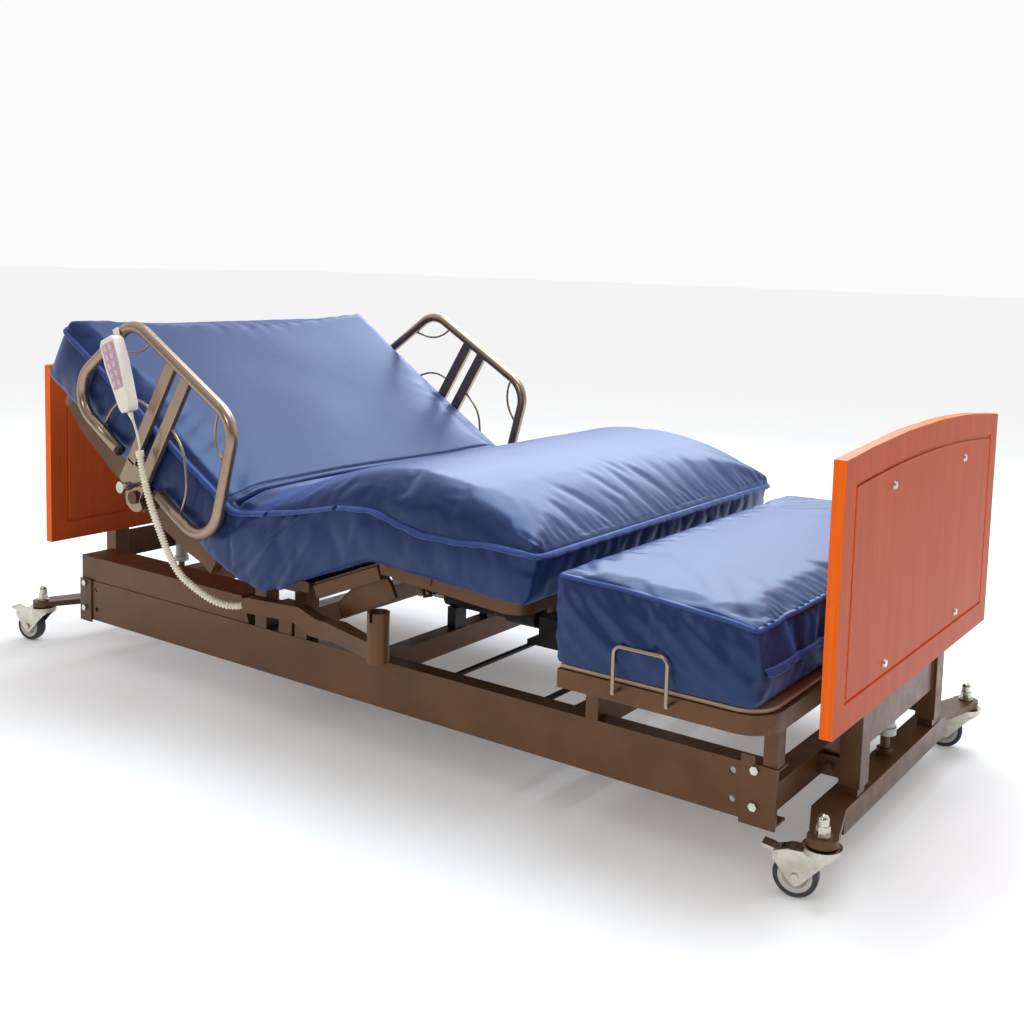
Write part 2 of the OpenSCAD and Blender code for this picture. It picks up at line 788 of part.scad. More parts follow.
module thigh_deck() {
    side = deck_inner_w / 2 - 30;
    color("#4a3b33") at_thigh() {
        both_sides() {
            block([26, side + 4, -band_h], [thigh_l - 20, side + 26, -6]);
            difference() {
                union() {
                    translate([0, side - 8, 0]) rotate([90, 0, 0]) cylinder(h = 50, r = sleeve_r);
                    block([0, side - 58, -30], [60, side - 8, -6]);
                }
                translate([0, side + 1, 0]) rotate([90, 0, 0]) cylinder(h = 70, r = hinge_r + running);
            }
            across(side - 16, side - 8) {
                polygon([[thigh_l - 50, -30], [thigh_l + 8, -30], [thigh_l + 10, 0],
                         [thigh_l - 50, 0]]);
                translate([thigh_l, 0]) circle(r = sleeve_r);
            }
        }
        block([26, -side - 4, -30], [60, side + 4, -6]);
        block([thigh_l - 50, -side + 6, -30], [thigh_l - 20, side - 6, -6]);
        block([26, -side - 20, -6], [thigh_l - 20, side + 20, 0]);
        translate([thigh_l, side - 8, 0]) rotate([90, 0, 0]) cylinder(h = 2 * side - 16, r = hinge_r);
        mirror([1, 0, 0]) crank(knee_actuator_y, knee_crank_r, thigh_angle - 17, [-40, -30, -6]);
    }
}

module thigh_pad() {
    color("#27346f") at_thigh() across(-mattress_w / 2, mattress_w / 2)
        polygon([[hinge_clear, pad_lift], [thigh_l - hinge_clear, pad_lift],
                 [thigh_l - hinge_clear, pad_lift + mattress_t],
                 [hinge_clear + mattress_t * tan(18), pad_lift + mattress_t]]);
}

// L-shaped levers that hang from the thigh section's sides
module knee_levers() {
    color("#5b4a3f") both_sides() across(-deck_inner_w / 2 + 26, -deck_inner_w / 2 + 36) {
        polygon([[35, 306], [44, 279], [56, 276], [196, 344], [182, 372], [160, 396], [150, 404],
                 [128, 395.5]]);
    }
}

module calf_deck() {
    side = deck_inner_w / 2 - 30;
    color("#4a3b33") at_calf() {
        translate([0, 0, -29]) deck_band(30, calf_l, deck_inner_w, band_wall, 50, band_h);
        both_sides() {
            difference() {
                union() {
                    translate([0, side - 70, 0]) rotate([90, 0, 0]) cylinder(h = 40, r = sleeve_r);
                    block([0, side - 110, -20], [40, side - 70, 6]);
                }
                translate([0, side - 60, 0]) rotate([90, 0, 0]) cylinder(h = 60, r = hinge_r + running);
            }
            difference() {
                across(-deck_inner_w / 2 - 3, -deck_inner_w / 2)
                    polygon([[-10, 10], [4, -26], [130, -18], [136, 14], [60, 24]]);
                for (x = [16, 66])
                    translate([x, -deck_inner_w / 2 + 1, 0]) rotate([90, 0, 0]) cylinder(h = 8, r = 5);
            }
        }
        block([34, -side - 10, -24], [64, side + 10, 2]);
        block([180, -side - 10, -24], [210, side + 10, 2]);
        translate([0, 0, 1]) linear_extrude(5) round_ended(34, calf_l - 6, deck_inner_w - 14, 44);
    }
}

module calf_pad() {
    end = 408;
    color("#27346f") at_calf() difference() {
        across(-mattress_w / 2, mattress_w / 2)
            polygon([[hinge_clear, pad_lift], [end - 30, pad_lift], [end, 60], [end - 6, 122],
                     [end - 60, 138], [hinge_clear, pad_lift + mattress_t]]);
        both_sides()
            block([0, -deck_inner_w / 2 - 5, 0], [140, -deck_inner_w / 2 + 2, 28]);
    }
}

// ---- Actuators under the deck ----

// A motor and tube that lie along X, hollow for their rod
module actuator(x0, x1, y, z) {
    difference() {
        union() {
            translate([x0, y, z]) rotate([0, 90, 0]) cylinder(h = x1 - x0, r = 21);
            translate([x1 - 80, y, z]) rotate([0, 90, 0]) cylinder(h = 80, r = 27);
        }
        translate([x0 - 1, y, z]) rotate([0, 90, 0]) cylinder(h = x1 - x0 - 12, r = actuator_rod_r + 0.5);
    }
}

module back_actuator() {
    z = hip_z - crank_r;
    color("#3a3a3c") {
        actuator(-150, 150, back_actuator_y, z);
        block([54, back_actuator_y - 20, 176], [78, back_actuator_y + 20, z - 18]);
    }
}

module back_actuator_rod() {
    z = hip_z - crank_r;
    color("silver") {
        translate([hip_x + 12, back_actuator_y, z]) rotate([0, 90, 0])
            cylinder(h = 235, r = actuator_rod_r);
        translate([hip_x, back_actuator_y + 12, z]) rotate([90, 0, 0]) cylinder(h = 24, r = 14);
    }
}

module knee_actuator() {
    z = pivot_z - knee_crank_r;
    color("#3a3a3c") {
        actuator(40, 300, knee_actuator_y, z);
        block([52, knee_actuator_y - 20, 176], [76, knee_actuator_y + 20, z - 19]);
    }
}

module knee_actuator_rod() {
    z = pivot_z - knee_crank_r;
    color("silver") {
        translate([thigh_x + 12, knee_actuator_y, z]) rotate([0, 90, 0])
            cylinder(h = 210, r = actuator_rod_r);
        translate([thigh_x, knee_actuator_y + 12, z]) rotate([90, 0, 0]) cylinder(h = 24, r = 14);
    }
}

// ---- Hand pendant, its cord and conduit ----

module at_pendant() {
    translate([pendant_top.x, pendant_y, pendant_top.y]) rotate([0, -pendant_lean, 0]) children();
}

// Handset with a strap hook on its back that hangs it on the side rail
module hand_pendant() {
    color("#cfc8ba") at_pendant() {
        block([-9, 12.5, -34], [9, 21, -10]);
        block([-9, 17, -10], [9, 21, 22]);
    }
    color("#d9d2c5") at_pendant() difference() {
        across(-13, 13)
            polygon([[-18, 0], [18, 0], [27, -10], [28, -60], [22, -120], [18, -160], [12, -pendant_l],
                     [-12, -pendant_l], [-18, -160], [-22, -120], [-28, -60], [-27, -10]]);
        across(-14, -11.6)
            polygon([[-22, -12], [22, -12], [22, -60], [17, -118], [-17, -118], [-22, -60]]);
    }
}

module pendant_keypad() {
    color("#c9a6b4") at_pendant() {
        across(-13.2, -11.6)
            polygon([[-21.6, -12.4], [21.6, -12.4], [21.6, -60], [16.6, -117.6], [-16.6, -117.6],
                     [-21.6, -60]]);
        for (row = [0:4], col = [-1, 1])
            translate([col * (10 - row * 0.8), -13.2, -24 - row * 20])
                rotate([90, 0, 0]) cylinder(h = 0.8, r = 6);
    }
}

module pendant_cord() {
    color("#d8d2c6") swept_tube(cord_route, cord_r, 8);
}

module conduit() {
    color("#ddd6c8") swept_tube(conduit_route, conduit_r, 12);
}

// ---- Assembly ----

foot_base();
head_base();
for (i = [1:4]) {
    caster_fork(i);
    caster_hub(i);
    caster_tyre(i);
    brake_pedal(i);
}
side_channel(-1);  // side_channel_near
side_channel(1);  // side_channel_far
cross_members();
link_brackets();
head_covers();
foot_columns();
head_columns();
foot_lift_motor();
head_lift_motor();
headboard();
footboard();
frame_bolts();
control_box();
seat_deck();
foot_deck();
foot_deck_panel();
mattress_retainers();
assist_socket(-1);  // assist_socket_near
assist_socket(1);  // assist_socket_far
foot_pad();
seat_pad();
back_deck();
back_pad();
rail_mounts();
side_rail(-1);  // side_rail_near
side_rail(1);  // side_rail_far
latch_knob(-1);  // latch_knob_near
latch_knob(1);  // latch_knob_far
thigh_deck();
thigh_pad();
knee_levers();
calf_deck();
calf_pad();
back_actuator();
back_actuator_rod();
knee_actuator();
knee_actuator_rod();
hand_pendant();
pendant_keypad();
pendant_cord();
conduit();
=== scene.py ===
"""Looks of the adjustable hospital bed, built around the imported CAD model. Sizes are in metres."""
import json
import math
import bmesh
import bpy
import numpy as np
from mathutils import Matrix, Vector, noise
from mathutils.bvhtree import BVHTree

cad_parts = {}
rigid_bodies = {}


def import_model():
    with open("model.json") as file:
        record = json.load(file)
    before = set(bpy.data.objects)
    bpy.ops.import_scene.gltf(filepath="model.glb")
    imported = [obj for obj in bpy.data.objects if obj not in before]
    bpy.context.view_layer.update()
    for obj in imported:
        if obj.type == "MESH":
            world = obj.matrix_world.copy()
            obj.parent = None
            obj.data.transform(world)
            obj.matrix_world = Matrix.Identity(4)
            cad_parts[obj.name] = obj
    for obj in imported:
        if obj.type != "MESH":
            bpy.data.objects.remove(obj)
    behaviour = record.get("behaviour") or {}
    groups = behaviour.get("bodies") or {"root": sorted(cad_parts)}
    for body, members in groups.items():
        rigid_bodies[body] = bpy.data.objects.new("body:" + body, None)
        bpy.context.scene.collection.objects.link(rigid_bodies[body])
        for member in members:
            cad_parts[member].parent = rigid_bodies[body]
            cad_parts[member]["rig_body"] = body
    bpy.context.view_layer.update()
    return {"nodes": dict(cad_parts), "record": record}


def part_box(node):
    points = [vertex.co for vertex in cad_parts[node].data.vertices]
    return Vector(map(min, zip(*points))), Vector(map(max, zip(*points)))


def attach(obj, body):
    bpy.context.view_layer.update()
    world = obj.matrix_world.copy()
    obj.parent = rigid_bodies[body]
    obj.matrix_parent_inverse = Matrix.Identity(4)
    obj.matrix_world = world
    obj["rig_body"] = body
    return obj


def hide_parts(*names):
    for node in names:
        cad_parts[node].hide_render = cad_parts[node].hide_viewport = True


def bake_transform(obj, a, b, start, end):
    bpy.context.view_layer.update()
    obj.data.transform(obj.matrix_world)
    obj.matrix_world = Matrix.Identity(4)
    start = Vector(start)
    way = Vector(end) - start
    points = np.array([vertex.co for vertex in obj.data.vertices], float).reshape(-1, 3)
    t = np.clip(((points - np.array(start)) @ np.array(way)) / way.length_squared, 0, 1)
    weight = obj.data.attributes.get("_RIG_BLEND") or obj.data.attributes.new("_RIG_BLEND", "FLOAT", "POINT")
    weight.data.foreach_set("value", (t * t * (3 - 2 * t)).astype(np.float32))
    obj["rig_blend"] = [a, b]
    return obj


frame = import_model()
NODES = frame["nodes"]
MM = 0.001
SIDES = {"near": -1, "far": 1}


# ---- Camera, light and floor ----

CAMERA_TURN = (34.73, 5.85, 1.68)
CAMERA_PLACE = (1.79634, -2.26255, 1.02572)


def add_camera():
    """The camera that was fitted to the photo: turned by yaw, pitch and roll in degrees."""
    yaw, pitch, roll = (math.radians(angle) for angle in CAMERA_TURN)
    forward = Vector((-math.sin(yaw) * math.cos(pitch), math.cos(yaw) * math.cos(pitch),
                      -math.sin(pitch)))
    right = Vector((math.cos(yaw), math.sin(yaw), 0))
    up = right.cross(forward)
    x_axis = right * math.cos(roll) + up * math.sin(roll)
    y_axis = -right * math.sin(roll) + up * math.cos(roll)
    place = Matrix((x_axis, y_axis, -forward)).transposed().to_4x4()
    place.translation = CAMERA_PLACE
    data = bpy.data.cameras.new("camera")
    data.sensor_width = 36
    data.lens = 43.17
    data.shift_x = -0.0234
    data.shift_y = -0.1203
    camera = bpy.data.objects.new("camera", data)
    bpy.context.scene.collection.objects.link(camera)
    camera.matrix_world = place
    bpy.context.scene.camera = camera


def add_light(name, place, aim, size, watts, colour):
    data = bpy.data.lights.new(name, "AREA")
    data.shape = "RECTANGLE"
    data.size, data.size_y = size
    data.energy = watts
    data.color = colour
    light = bpy.data.objects.new(name, data)
    bpy.context.scene.collection.objects.link(light)
    light.location = place
    light.rotation_euler = (Vector(aim) - Vector(place)).to_track_quat("-Z", "Y").to_euler()


def add_studio():
    """A white room with its strongest light above and behind the bed, softer from the near side."""
    bpy.context.scene.view_settings.view_transform = "Standard"
    world = bpy.data.worlds.new("studio")
    world.use_nodes = True
    nodes, links = world.node_tree.nodes, world.node_tree.links
    coords = nodes.new("ShaderNodeTexCoord")
    facing = nodes.new("ShaderNodeVectorMath")
    facing.operation = "DOT_PRODUCT"
    facing.inputs[1].default_value = (-0.40, 0.72, 0.56)
    links.new(coords.outputs["Generated"], facing.inputs[0])
    half = nodes.new("ShaderNodeMath")
    half.operation = "MULTIPLY_ADD"
    half.inputs[1].default_value = 0.5
    half.inputs[2].default_value = 0.5
    links.new(facing.outputs["Value"], half.inputs[0])
    walls = ramp(nodes, links, half.outputs["Value"], [(0.25, (0.20,) * 3), (0.70, (0.97,) * 3)])
    links.new(walls, nodes["Background"].inputs["Color"])
    nodes["Background"].inputs["Strength"].default_value = 1.0
    bpy.context.scene.world = world
    add_light("overhead", (0.3, 0.7, 3.3), (0, 0.1, 0.4), (2.6, 2.0), 92, (0.76, 0.87, 1.0))
    add_light("behind", (-1.3, 3.2, 2.3), (0, 0, 0.5), (2.6, 1.6), 62, (0.72, 0.84, 1.0))
    add_light("near", (0.4, -3.8, 2.2), (0, -0.4, 0.3), (0.8, 0.6), 16, (1.0, 0.93, 0.84))


def add_floor():
    """A wide sheet of pale paper just under the wheels, faintly lit to fade into the room."""
    half, gap = 60.0, 0.0005
    corners = [(-half, -half, 0), (half, -half, 0), (half, half, 0), (-half, half, 0)]
    floor = mesh_object("floor", corners, [(0, 1, 2, 3)])
    floor.location.z = -gap
    paper = plain("floor_paper", (0.90, 0.90, 0.90), (0.88, 0.88, 0.88), 0.9, grain=40,
                  Emission_Color=(1, 1, 1, 1), Emission_Strength=0.17)
    floor.data.materials.append(paper)


# ---- Materials ----

def new_material(name):
    material = bpy.data.materials.new(name)
    material.use_nodes = True
    nodes = material.node_tree.nodes
    return material, nodes, material.node_tree.links, nodes["Principled BSDF"]


def noise_texture(nodes, links, scale, stretch=(1, 1, 1), detail=5.0, rough=0.55):
    coords = nodes.new("ShaderNodeTexCoord")
    mapping = nodes.new("ShaderNodeMapping")
    mapping.inputs["Scale"].default_value = stretch
    texture = nodes.new("ShaderNodeTexNoise")
    texture.inputs["Scale"].default_value = scale
    texture.inputs["Detail"].default_value = detail
    texture.inputs["Roughness"].default_value = rough
    links.new(coords.outputs["Object"], mapping.inputs["Vector"])
    links.new(mapping.outputs["Vector"], texture.inputs["Vector"])
    return texture


def ramp(nodes, links, factor, stops):
    node = nodes.new("ShaderNodeValToRGB")
    elements = node.color_ramp.elements
    while len(elements) < len(stops):
        elements.new(0.5)
    for element, (place, colour) in zip(elements, stops):
        element.position = place
        element.color = (*colour, 1)
    links.new(factor, node.inputs["Fac"])
    return node.outputs["Color"]


def add_bump(nodes, links, target, height, strength, distance):
    """A bump that feeds the normal of a shader, or of another bump."""
    bump = nodes.new("ShaderNodeBump")
    bump.inputs["Strength"].default_value = strength
    bump.inputs["Distance"].default_value = distance
    links.new(height, bump.inputs["Height"])
    links.new(bump.outputs["Normal"], target.inputs["Normal"])
    return bump


def plain(name, light, dark, rough, metallic=0.0, patch=7.0, grain=420.0, bump=0.08, spread=0.08,
          **sockets):
    """A mottled finish: two tones in soft patches, uneven gloss and a fine surface grain."""
    material, nodes, links, shader = new_material(name)
    patches = noise_texture(nodes, links, patch)
    links.new(ramp(nodes, links, patches.outputs["Fac"], [(0.36, dark), (0.64, light)]),
              shader.inputs["Base Color"])
    gloss = noise_texture(nodes, links, patch * 5)
    low, high = max(0.02, rough - spread), rough + spread
    links.new(ramp(nodes, links, gloss.outputs["Fac"], [(0.3, (low,) * 3), (0.7, (high,) * 3)]),
              shader.inputs["Roughness"])
    fine = noise_texture(nodes, links, grain, detail=2.0)
    add_bump(nodes, links, shader, fine.outputs["Fac"], bump, 0.0004)
    shader.inputs["Metallic"].default_value = metallic
    for socket, value in sockets.items():
        shader.inputs[socket.replace("_", " ")].default_value = value
    return material


def wood(name, dark, middle, light):
    """Cherry laminate: long grain across the board, fine pores and a satin coat."""
    material, nodes, links, shader = new_material(name)
    figure = noise_texture(nodes, links, 11.0, (1.0, 3.2, 0.16), detail=7.0, rough=0.6)
    figure.inputs["Distortion"].default_value = 0.25
    grain = noise_texture(nodes, links, 90.0, (1.0, 3.5, 0.05), detail=6.0, rough=0.7)
    mixed = nodes.new("ShaderNodeMix")
    mixed.inputs["Factor"].default_value = 0.5
    links.new(figure.outputs["Fac"], mixed.inputs["A"])
    links.new(grain.outputs["Fac"], mixed.inputs["B"])
    links.new(ramp(nodes, links, mixed.outputs["Result"],
                   [(0.30, dark), (0.5, middle), (0.70, light)]),
              shader.inputs["Base Color"])
    add_bump(nodes, links, shader, grain.outputs["Fac"], 0.03, 0.0003)
    shader.inputs["Roughness"].default_value = 0.45
    shader.inputs["Specular IOR Level"].default_value = 0.16
    return material


def cover_fabric(name, dark, light):
    """Coated nylon: a fine plain weave under a soft sheen, with faint creasing."""
    material, nodes, links, shader = new_material(name)
    tone = noise_texture(nodes, links, 3.0, detail=3.0)
    links.new(ramp(nodes, links, tone.outputs["Fac"], [(0.3, dark), (0.7, light)]),
              shader.inputs["Base Color"])
    coords = nodes.new("ShaderNodeTexCoord")
    threads = []
    for axis in ("X", "Y"):
        wave = nodes.new("ShaderNodeTexWave")
        wave.bands_direction = axis
        wave.inputs["Scale"].default_value = 420.0
        wave.inputs["Distortion"].default_value = 0.4
        links.new(coords.outputs["Object"], wave.inputs["Vector"])
        threads.append(wave.outputs["Fac"])
    weave = nodes.new("ShaderNodeMath")
    weave.operation = "MULTIPLY"
    links.new(threads[0], weave.inputs[0])
    links.new(threads[1], weave.inputs[1])
    crumple = noise_texture(nodes, links, 26.0, detail=6.0, rough=0.6)
    fine = add_bump(nodes, links, shader, weave.outputs["Value"], 0.10, 0.0002)
    add_bump(nodes, links, fine, crumple.outputs["Fac"], 0.10, 0.004)
    shader.inputs["Roughness"].default_value = 0.36
    shader.inputs["Specular IOR Level"].default_value = 0.62
    shader.inputs["Specular Tint"].default_value = (0.40, 0.60, 1.0, 1)
    shader.inputs["Sheen Weight"].default_value = 0.50
    shader.inputs["Sheen Roughness"].default_value = 0.42
    shader.inputs["Sheen Tint"].default_value = (0.20, 0.36, 1.0, 1)
    return material


FINISHES = {
    "frame_paint": dict(light=(0.140, 0.062, 0.023), dark=(0.105, 0.046, 0.017), rough=0.36,
                        metallic=0.30, bump=0.02, Specular_IOR_Level=0.35),
    "rail_paint": dict(light=(0.37, 0.265, 0.185), dark=(0.32, 0.23, 0.16), rough=0.25,
                       metallic=0.85, bump=0.0, spread=0.03),
    "zinc": dict(light=(0.66, 0.62, 0.54), dark=(0.50, 0.46, 0.39), rough=0.22,
                 metallic=1.0, patch=30.0, bump=0.0),
    "bare_steel": dict(light=(0.62, 0.61, 0.59), dark=(0.5, 0.49, 0.47), rough=0.25,
                       metallic=1.0, patch=20.0, bump=0.012),
    "actuator_grey": dict(light=(0.50, 0.48, 0.44), dark=(0.42, 0.40, 0.37), rough=0.4,
                          metallic=0.3, bump=0.03),
    "wheel_core": dict(light=(0.62, 0.60, 0.55), dark=(0.52, 0.50, 0.46), rough=0.45),
    "tyre": dict(light=(0.045, 0.045, 0.048), dark=(0.030, 0.030, 0.033), rough=0.62,
                 grain=900.0, bump=0.15),
    "deck_panel": dict(light=(0.52, 0.36, 0.22), dark=(0.44, 0.30, 0.18), rough=0.5, bump=0.2),
    "black_plastic": dict(light=(0.022, 0.022, 0.024), dark=(0.015, 0.015, 0.017), rough=0.48,
                          bump=0.25),
    "pendant_shell": dict(light=(0.86, 0.79, 0.70), dark=(0.80, 0.72, 0.62), rough=0.42, bump=0.05),
    "keypad": dict(light=(0.56, 0.36, 0.42), dark=(0.50, 0.31, 0.38), rough=0.38, bump=0.05),
    "key_caps": dict(light=(0.66, 0.50, 0.60), dark=(0.60, 0.44, 0.55), rough=0.35, bump=0.0),
    "cord_jacket": dict(light=(0.86, 0.78, 0.62), dark=(0.79, 0.70, 0.54), rough=0.42, bump=0.03),
}
MATERIALS = {name: plain(name, **finish) for name, finish in FINISHES.items()}
MATERIALS["cherry_board"] = wood("cherry_board", (0.42, 0.058, 0.009), (0.50, 0.074, 0.013),
                                 (0.58, 0.095, 0.019))
MATERIALS["edge_banding"] = wood("edge_banding", (0.80, 0.10, 0.001), (0.92, 0.14, 0.002),
                                 (0.98, 0.19, 0.004))
MATERIALS["mattress_fabric"] = cover_fabric("mattress_fabric", (0.0062, 0.0128, 0.058),
                                            (0.0088, 0.0180, 0.078))
# Flap fabric: the cover's navy painted about three times lighter, a painted highlight for the light along
# the flaps' folded tops.
MATERIALS["flap_fabric_painted_highlight"] = cover_fabric("flap_fabric_painted_highlight", (0.020, 0.040, 0.15), (0.030, 0.056, 0.20))


# ---- Mesh helpers ----

def mesh_object(name, verts, faces, smooth=True):
    mesh = bpy.data.meshes.new(name)
    mesh.from_pydata([tuple(v) for v in verts], [], [tuple(f) for f in faces])
    mesh.validate()
    mesh.polygons.foreach_set("use_smooth", [smooth] * len(mesh.polygons))
    obj = bpy.data.objects.new(name, mesh)
    bpy.context.scene.collection.objects.link(obj)
    return obj


def finish_piece(obj, slot, body=None, nodes=()):
    """Gives a piece the material named by slot, puts it on its body and hides the CAD nodes it stands for.
    """
    if len(obj.data.materials) < 2:
        obj.data.materials.clear()
        obj.data.materials.append(MATERIALS[slot])
    if nodes:
        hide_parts(*nodes)
    if body:
        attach(obj, body)
    return obj


def joined(name, parts):
    """One object from several meshes, with their materials kept."""
    bm = bmesh.new()
    materials = []
    for part in parts:
        start = len(bm.faces)
        bm.from_mesh(part.data)
        bm.faces.ensure_lookup_table()
        own = list(part.data.materials)
        materials += [m for m in own if m not in materials]
        for face in bm.faces[start:]:
            face.material_index = materials.index(own[face.material_index])
        bpy.data.objects.remove(part)
    mesh = bpy.data.meshes.new(name)
    bm.to_mesh(mesh)
    bm.free()
    obj = bpy.data.objects.new(name, mesh)
    bpy.context.scene.collection.objects.link(obj)
    for material in materials:
        mesh.materials.append(material)
    return obj


def apply_modifiers(obj):
    """Bakes the object's modifiers into its mesh."""
    graph = bpy.context.evaluated_depsgraph_get()
    mesh = bpy.data.meshes.new_from_object(obj.evaluated_get(graph))
    obj.modifiers.clear()
    obj.data = mesh
    return obj


def tube(name, path, radius, sides=24):
    """A round tube with closed ends. Radius is a number, or one for each point of the path."""
    path = [Vector(p) for p in path]
    radii = radius if hasattr(radius, "__len__") else [radius] * len(path)
    verts = []
    across = None
    for i, point in enumerate(path):
        along = (path[min(i + 1, len(path) - 1)] - path[max(i - 1, 0)]).normalized()
        if across is None:
            across = along.orthogonal().normalized()
        across = (across - along * across.dot(along)).normalized()
        other = along.cross(across)
        verts += [point + radii[i] * (math.cos(a) * across + math.sin(a) * other)
                  for a in (2 * math.pi * k / sides for k in range(sides))]
    faces = [(i * sides + k, i * sides + (k + 1) % sides,
              (i + 1) * sides + (k + 1) % sides, (i + 1) * sides + k)
             for i in range(len(path) - 1) for k in range(sides)]
    faces.append(tuple(reversed(range(sides))))
    faces.append(tuple(range(len(verts) - sides, len(verts))))
    return mesh_object(name, verts, faces)


def recalculated(mesh):
    """Turns a closed mesh's faces to look outward."""
    bm = bmesh.new()
    bm.from_mesh(mesh)
    bmesh.ops.recalc_face_normals(bm, faces=bm.faces)
    bm.to_mesh(mesh)
    bm.free()


def smooth_by_angle(obj, degrees):
    """Smooth shading with the edges sharper than an angle kept sharp."""
    bm = bmesh.new()
    bm.from_mesh(obj.data)
    limit = math.radians(degrees)
    for face in bm.faces:
        face.smooth = True
    for edge in bm.edges:
        edge.smooth = not (len(edge.link_faces) == 2 and edge.calc_face_angle(0) > limit)
    bm.to_mesh(obj.data)
    bm.free()


MERGE_DISTANCE = 2e-5
FLAT_ANGLE = math.radians(2)
BEVEL_ANGLE = math.radians(38)


def softened(node, slot, width):
    """A copy of a CAD node with its edges rounded to a width, which stands for it."""
    obj = bpy.data.objects.new(node + "_shell", NODES[node].data.copy())
    bpy.context.scene.collection.objects.link(obj)
    bm = bmesh.new()
    bm.from_mesh(obj.data)
    bmesh.ops.remove_doubles(bm, verts=bm.verts, dist=MERGE_DISTANCE)
    bmesh.ops.dissolve_limit(bm, angle_limit=FLAT_ANGLE, verts=bm.verts, edges=bm.edges)
    bm.to_mesh(obj.data)
    bm.free()
    bevel = obj.modifiers.new("edges", "BEVEL")
    bevel.width = width
    bevel.segments = 2
    bevel.limit_method = "ANGLE"
    bevel.angle_limit = BEVEL_ANGLE
    bevel.use_clamp_overlap = True
    obj.data.polygons.foreach_set("use_smooth", [True] * len(obj.data.polygons))
    weighted = obj.modifiers.new("normals", "WEIGHTED_NORMAL")
    weighted.weight = 100
    apply_modifiers(obj)
    return finish_piece(obj, slot, NODES[node]["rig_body"], [node])


def resampled(points, step):
    """Points along a smooth curve through the given points, about a step apart."""
    points = [Vector(p) for p in points]
    ends = [2 * points[0] - points[1]] + points + [2 * points[-1] - points[-2]]
    curve = []
    for a, b, c, d in zip(ends, ends[1:], ends[2:], ends[3:]):
        count = max(2, round((c - b).length / step))
        for t in (k / count for k in range(count)):
            curve.append(0.5 * (2 * b + (c - a) * t + (2 * a - 5 * b + 4 * c - d) * t * t
                                + (3 * b - a - 3 * c + d) * t * t * t))
    return curve + [points[-1]]


# ---- Cords ----

CORD_ROUTE = [(-473, -560, 670), (-466, -560, 659), (-459, -560, 647), (-453, -560, 635),
              (-448, -560, 622), (-445, -559, 611), (-445, -557, 602), (-448, -554, 594),
              (-452, -552, 588)]
CONDUIT_ROUTE = [(-451, -552, 585), (-448, -552, 568), (-442, -552, 546), (-435, -552, 524),
                 (-427, -552, 502), (-417, -552, 480), (-406, -552, 458), (-394, -552, 436),
                 (-381, -552, 414), (-367, -552, 391), (-351, -552, 368), (-333, -551, 346),
                 (-314, -547, 325), (-295, -538, 308), (-276, -527, 292), (-258, -513, 277),
                 (-241, -498, 267), (-224, -484, 263), (-208, -475, 265), (-199, -471, 268)]
RIB_STEP = 0.00085
RIB_RADIUS, RIB_DEPTH = 0.0072, 0.0014
STEPS_PER_HALF_RIB = 4


def metres(route):
    """The routes are the CAD's, in millimetres from the top down."""
    return [Vector(p) * MM for p in route]


def add_conduit():
    """Corrugated conduit that guides the pendant's cord to the frame, with a collared mouth."""
    path = resampled(metres(reversed(CONDUIT_ROUTE)), RIB_STEP)
    ribs = [RIB_RADIUS + RIB_DEPTH * math.cos(math.pi * i / STEPS_PER_HALF_RIB)
            for i in range(len(path))]
    conduit = tube("conduit_tube", path, ribs)
    finish_piece(conduit, "cord_jacket", None, ["conduit"])
    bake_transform(conduit, "frame", "back", (-0.25, -0.51, 0.27), (-0.44, -0.552, 0.56))
    top, down = path[-1], (path[-18] - path[-1]).normalized()
    collar = tube("conduit_collar", [top + down * t for t in (-0.003, -0.002, 0.010, 0.011)],
                  [0.0080, 0.0092, 0.0092, 0.0083])
    finish_piece(collar, "cord_jacket", "back")


def add_pendant_cord():
    """Short free stretch of cord between the conduit's mouth and the pendant."""
    path = resampled(metres(reversed(CORD_ROUTE)), 0.002)
    lead_in = path[0] - (path[1] - path[0]).normalized() * 0.004
    cord = tube("pendant_lead", [lead_in] + path, 0.0025, 16)
    finish_piece(cord, "cord_jacket", None, ["pendant_cord"])
    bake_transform(cord, "back", "rail_near", (-0.452, -0.552, 0.588), (-0.462, -0.56, 0.652))
    relief = tube("pendant_relief", [path[-1], path[-3], path[-7], path[-11]],
                  [0.0062, 0.0058, 0.0042, 0.0031], 20)
    finish_piece(relief, "cord_jacket", "rail_near")


# ---- Mattress ----

HIP = Vector((-0.247, 0, 0.365))
BACK_ANGLE = math.radians(32)
HEADWARD = (-math.cos(BACK_ANGLE), 0, math.sin(BACK_ANGLE))
FOOTWARD = (1, 0, 0)
HALF_WIDTH = 0.502
BACK_LENGTH = 0.727
CREASE = 0.690
FABRIC_CELL = 0.0125
SEAM_STEP = 0.006
BASE_BAND = 0.006
FLAP = (0.009, 0.0075, 0.0014)
BEFORE, BEYOND = -1, 9


def rise(values, start, width):
    """0 up to start, then a straight rise to 1 over the width."""
    return np.clip((values - start) / width, 0, 1)


def on_back(s, n, y=0.0):
    """A point of the back section: s up along the deck from the hip, n out from the deck."""
    along, out = 0.009 - s, n - 0.030
    return Vector((HIP.x + along * math.cos(BACK_ANGLE) + out * math.sin(BACK_ANGLE), y,
                   HIP.z - along * math.sin(BACK_ANGLE) + out * math.cos(BACK_ANGLE)))


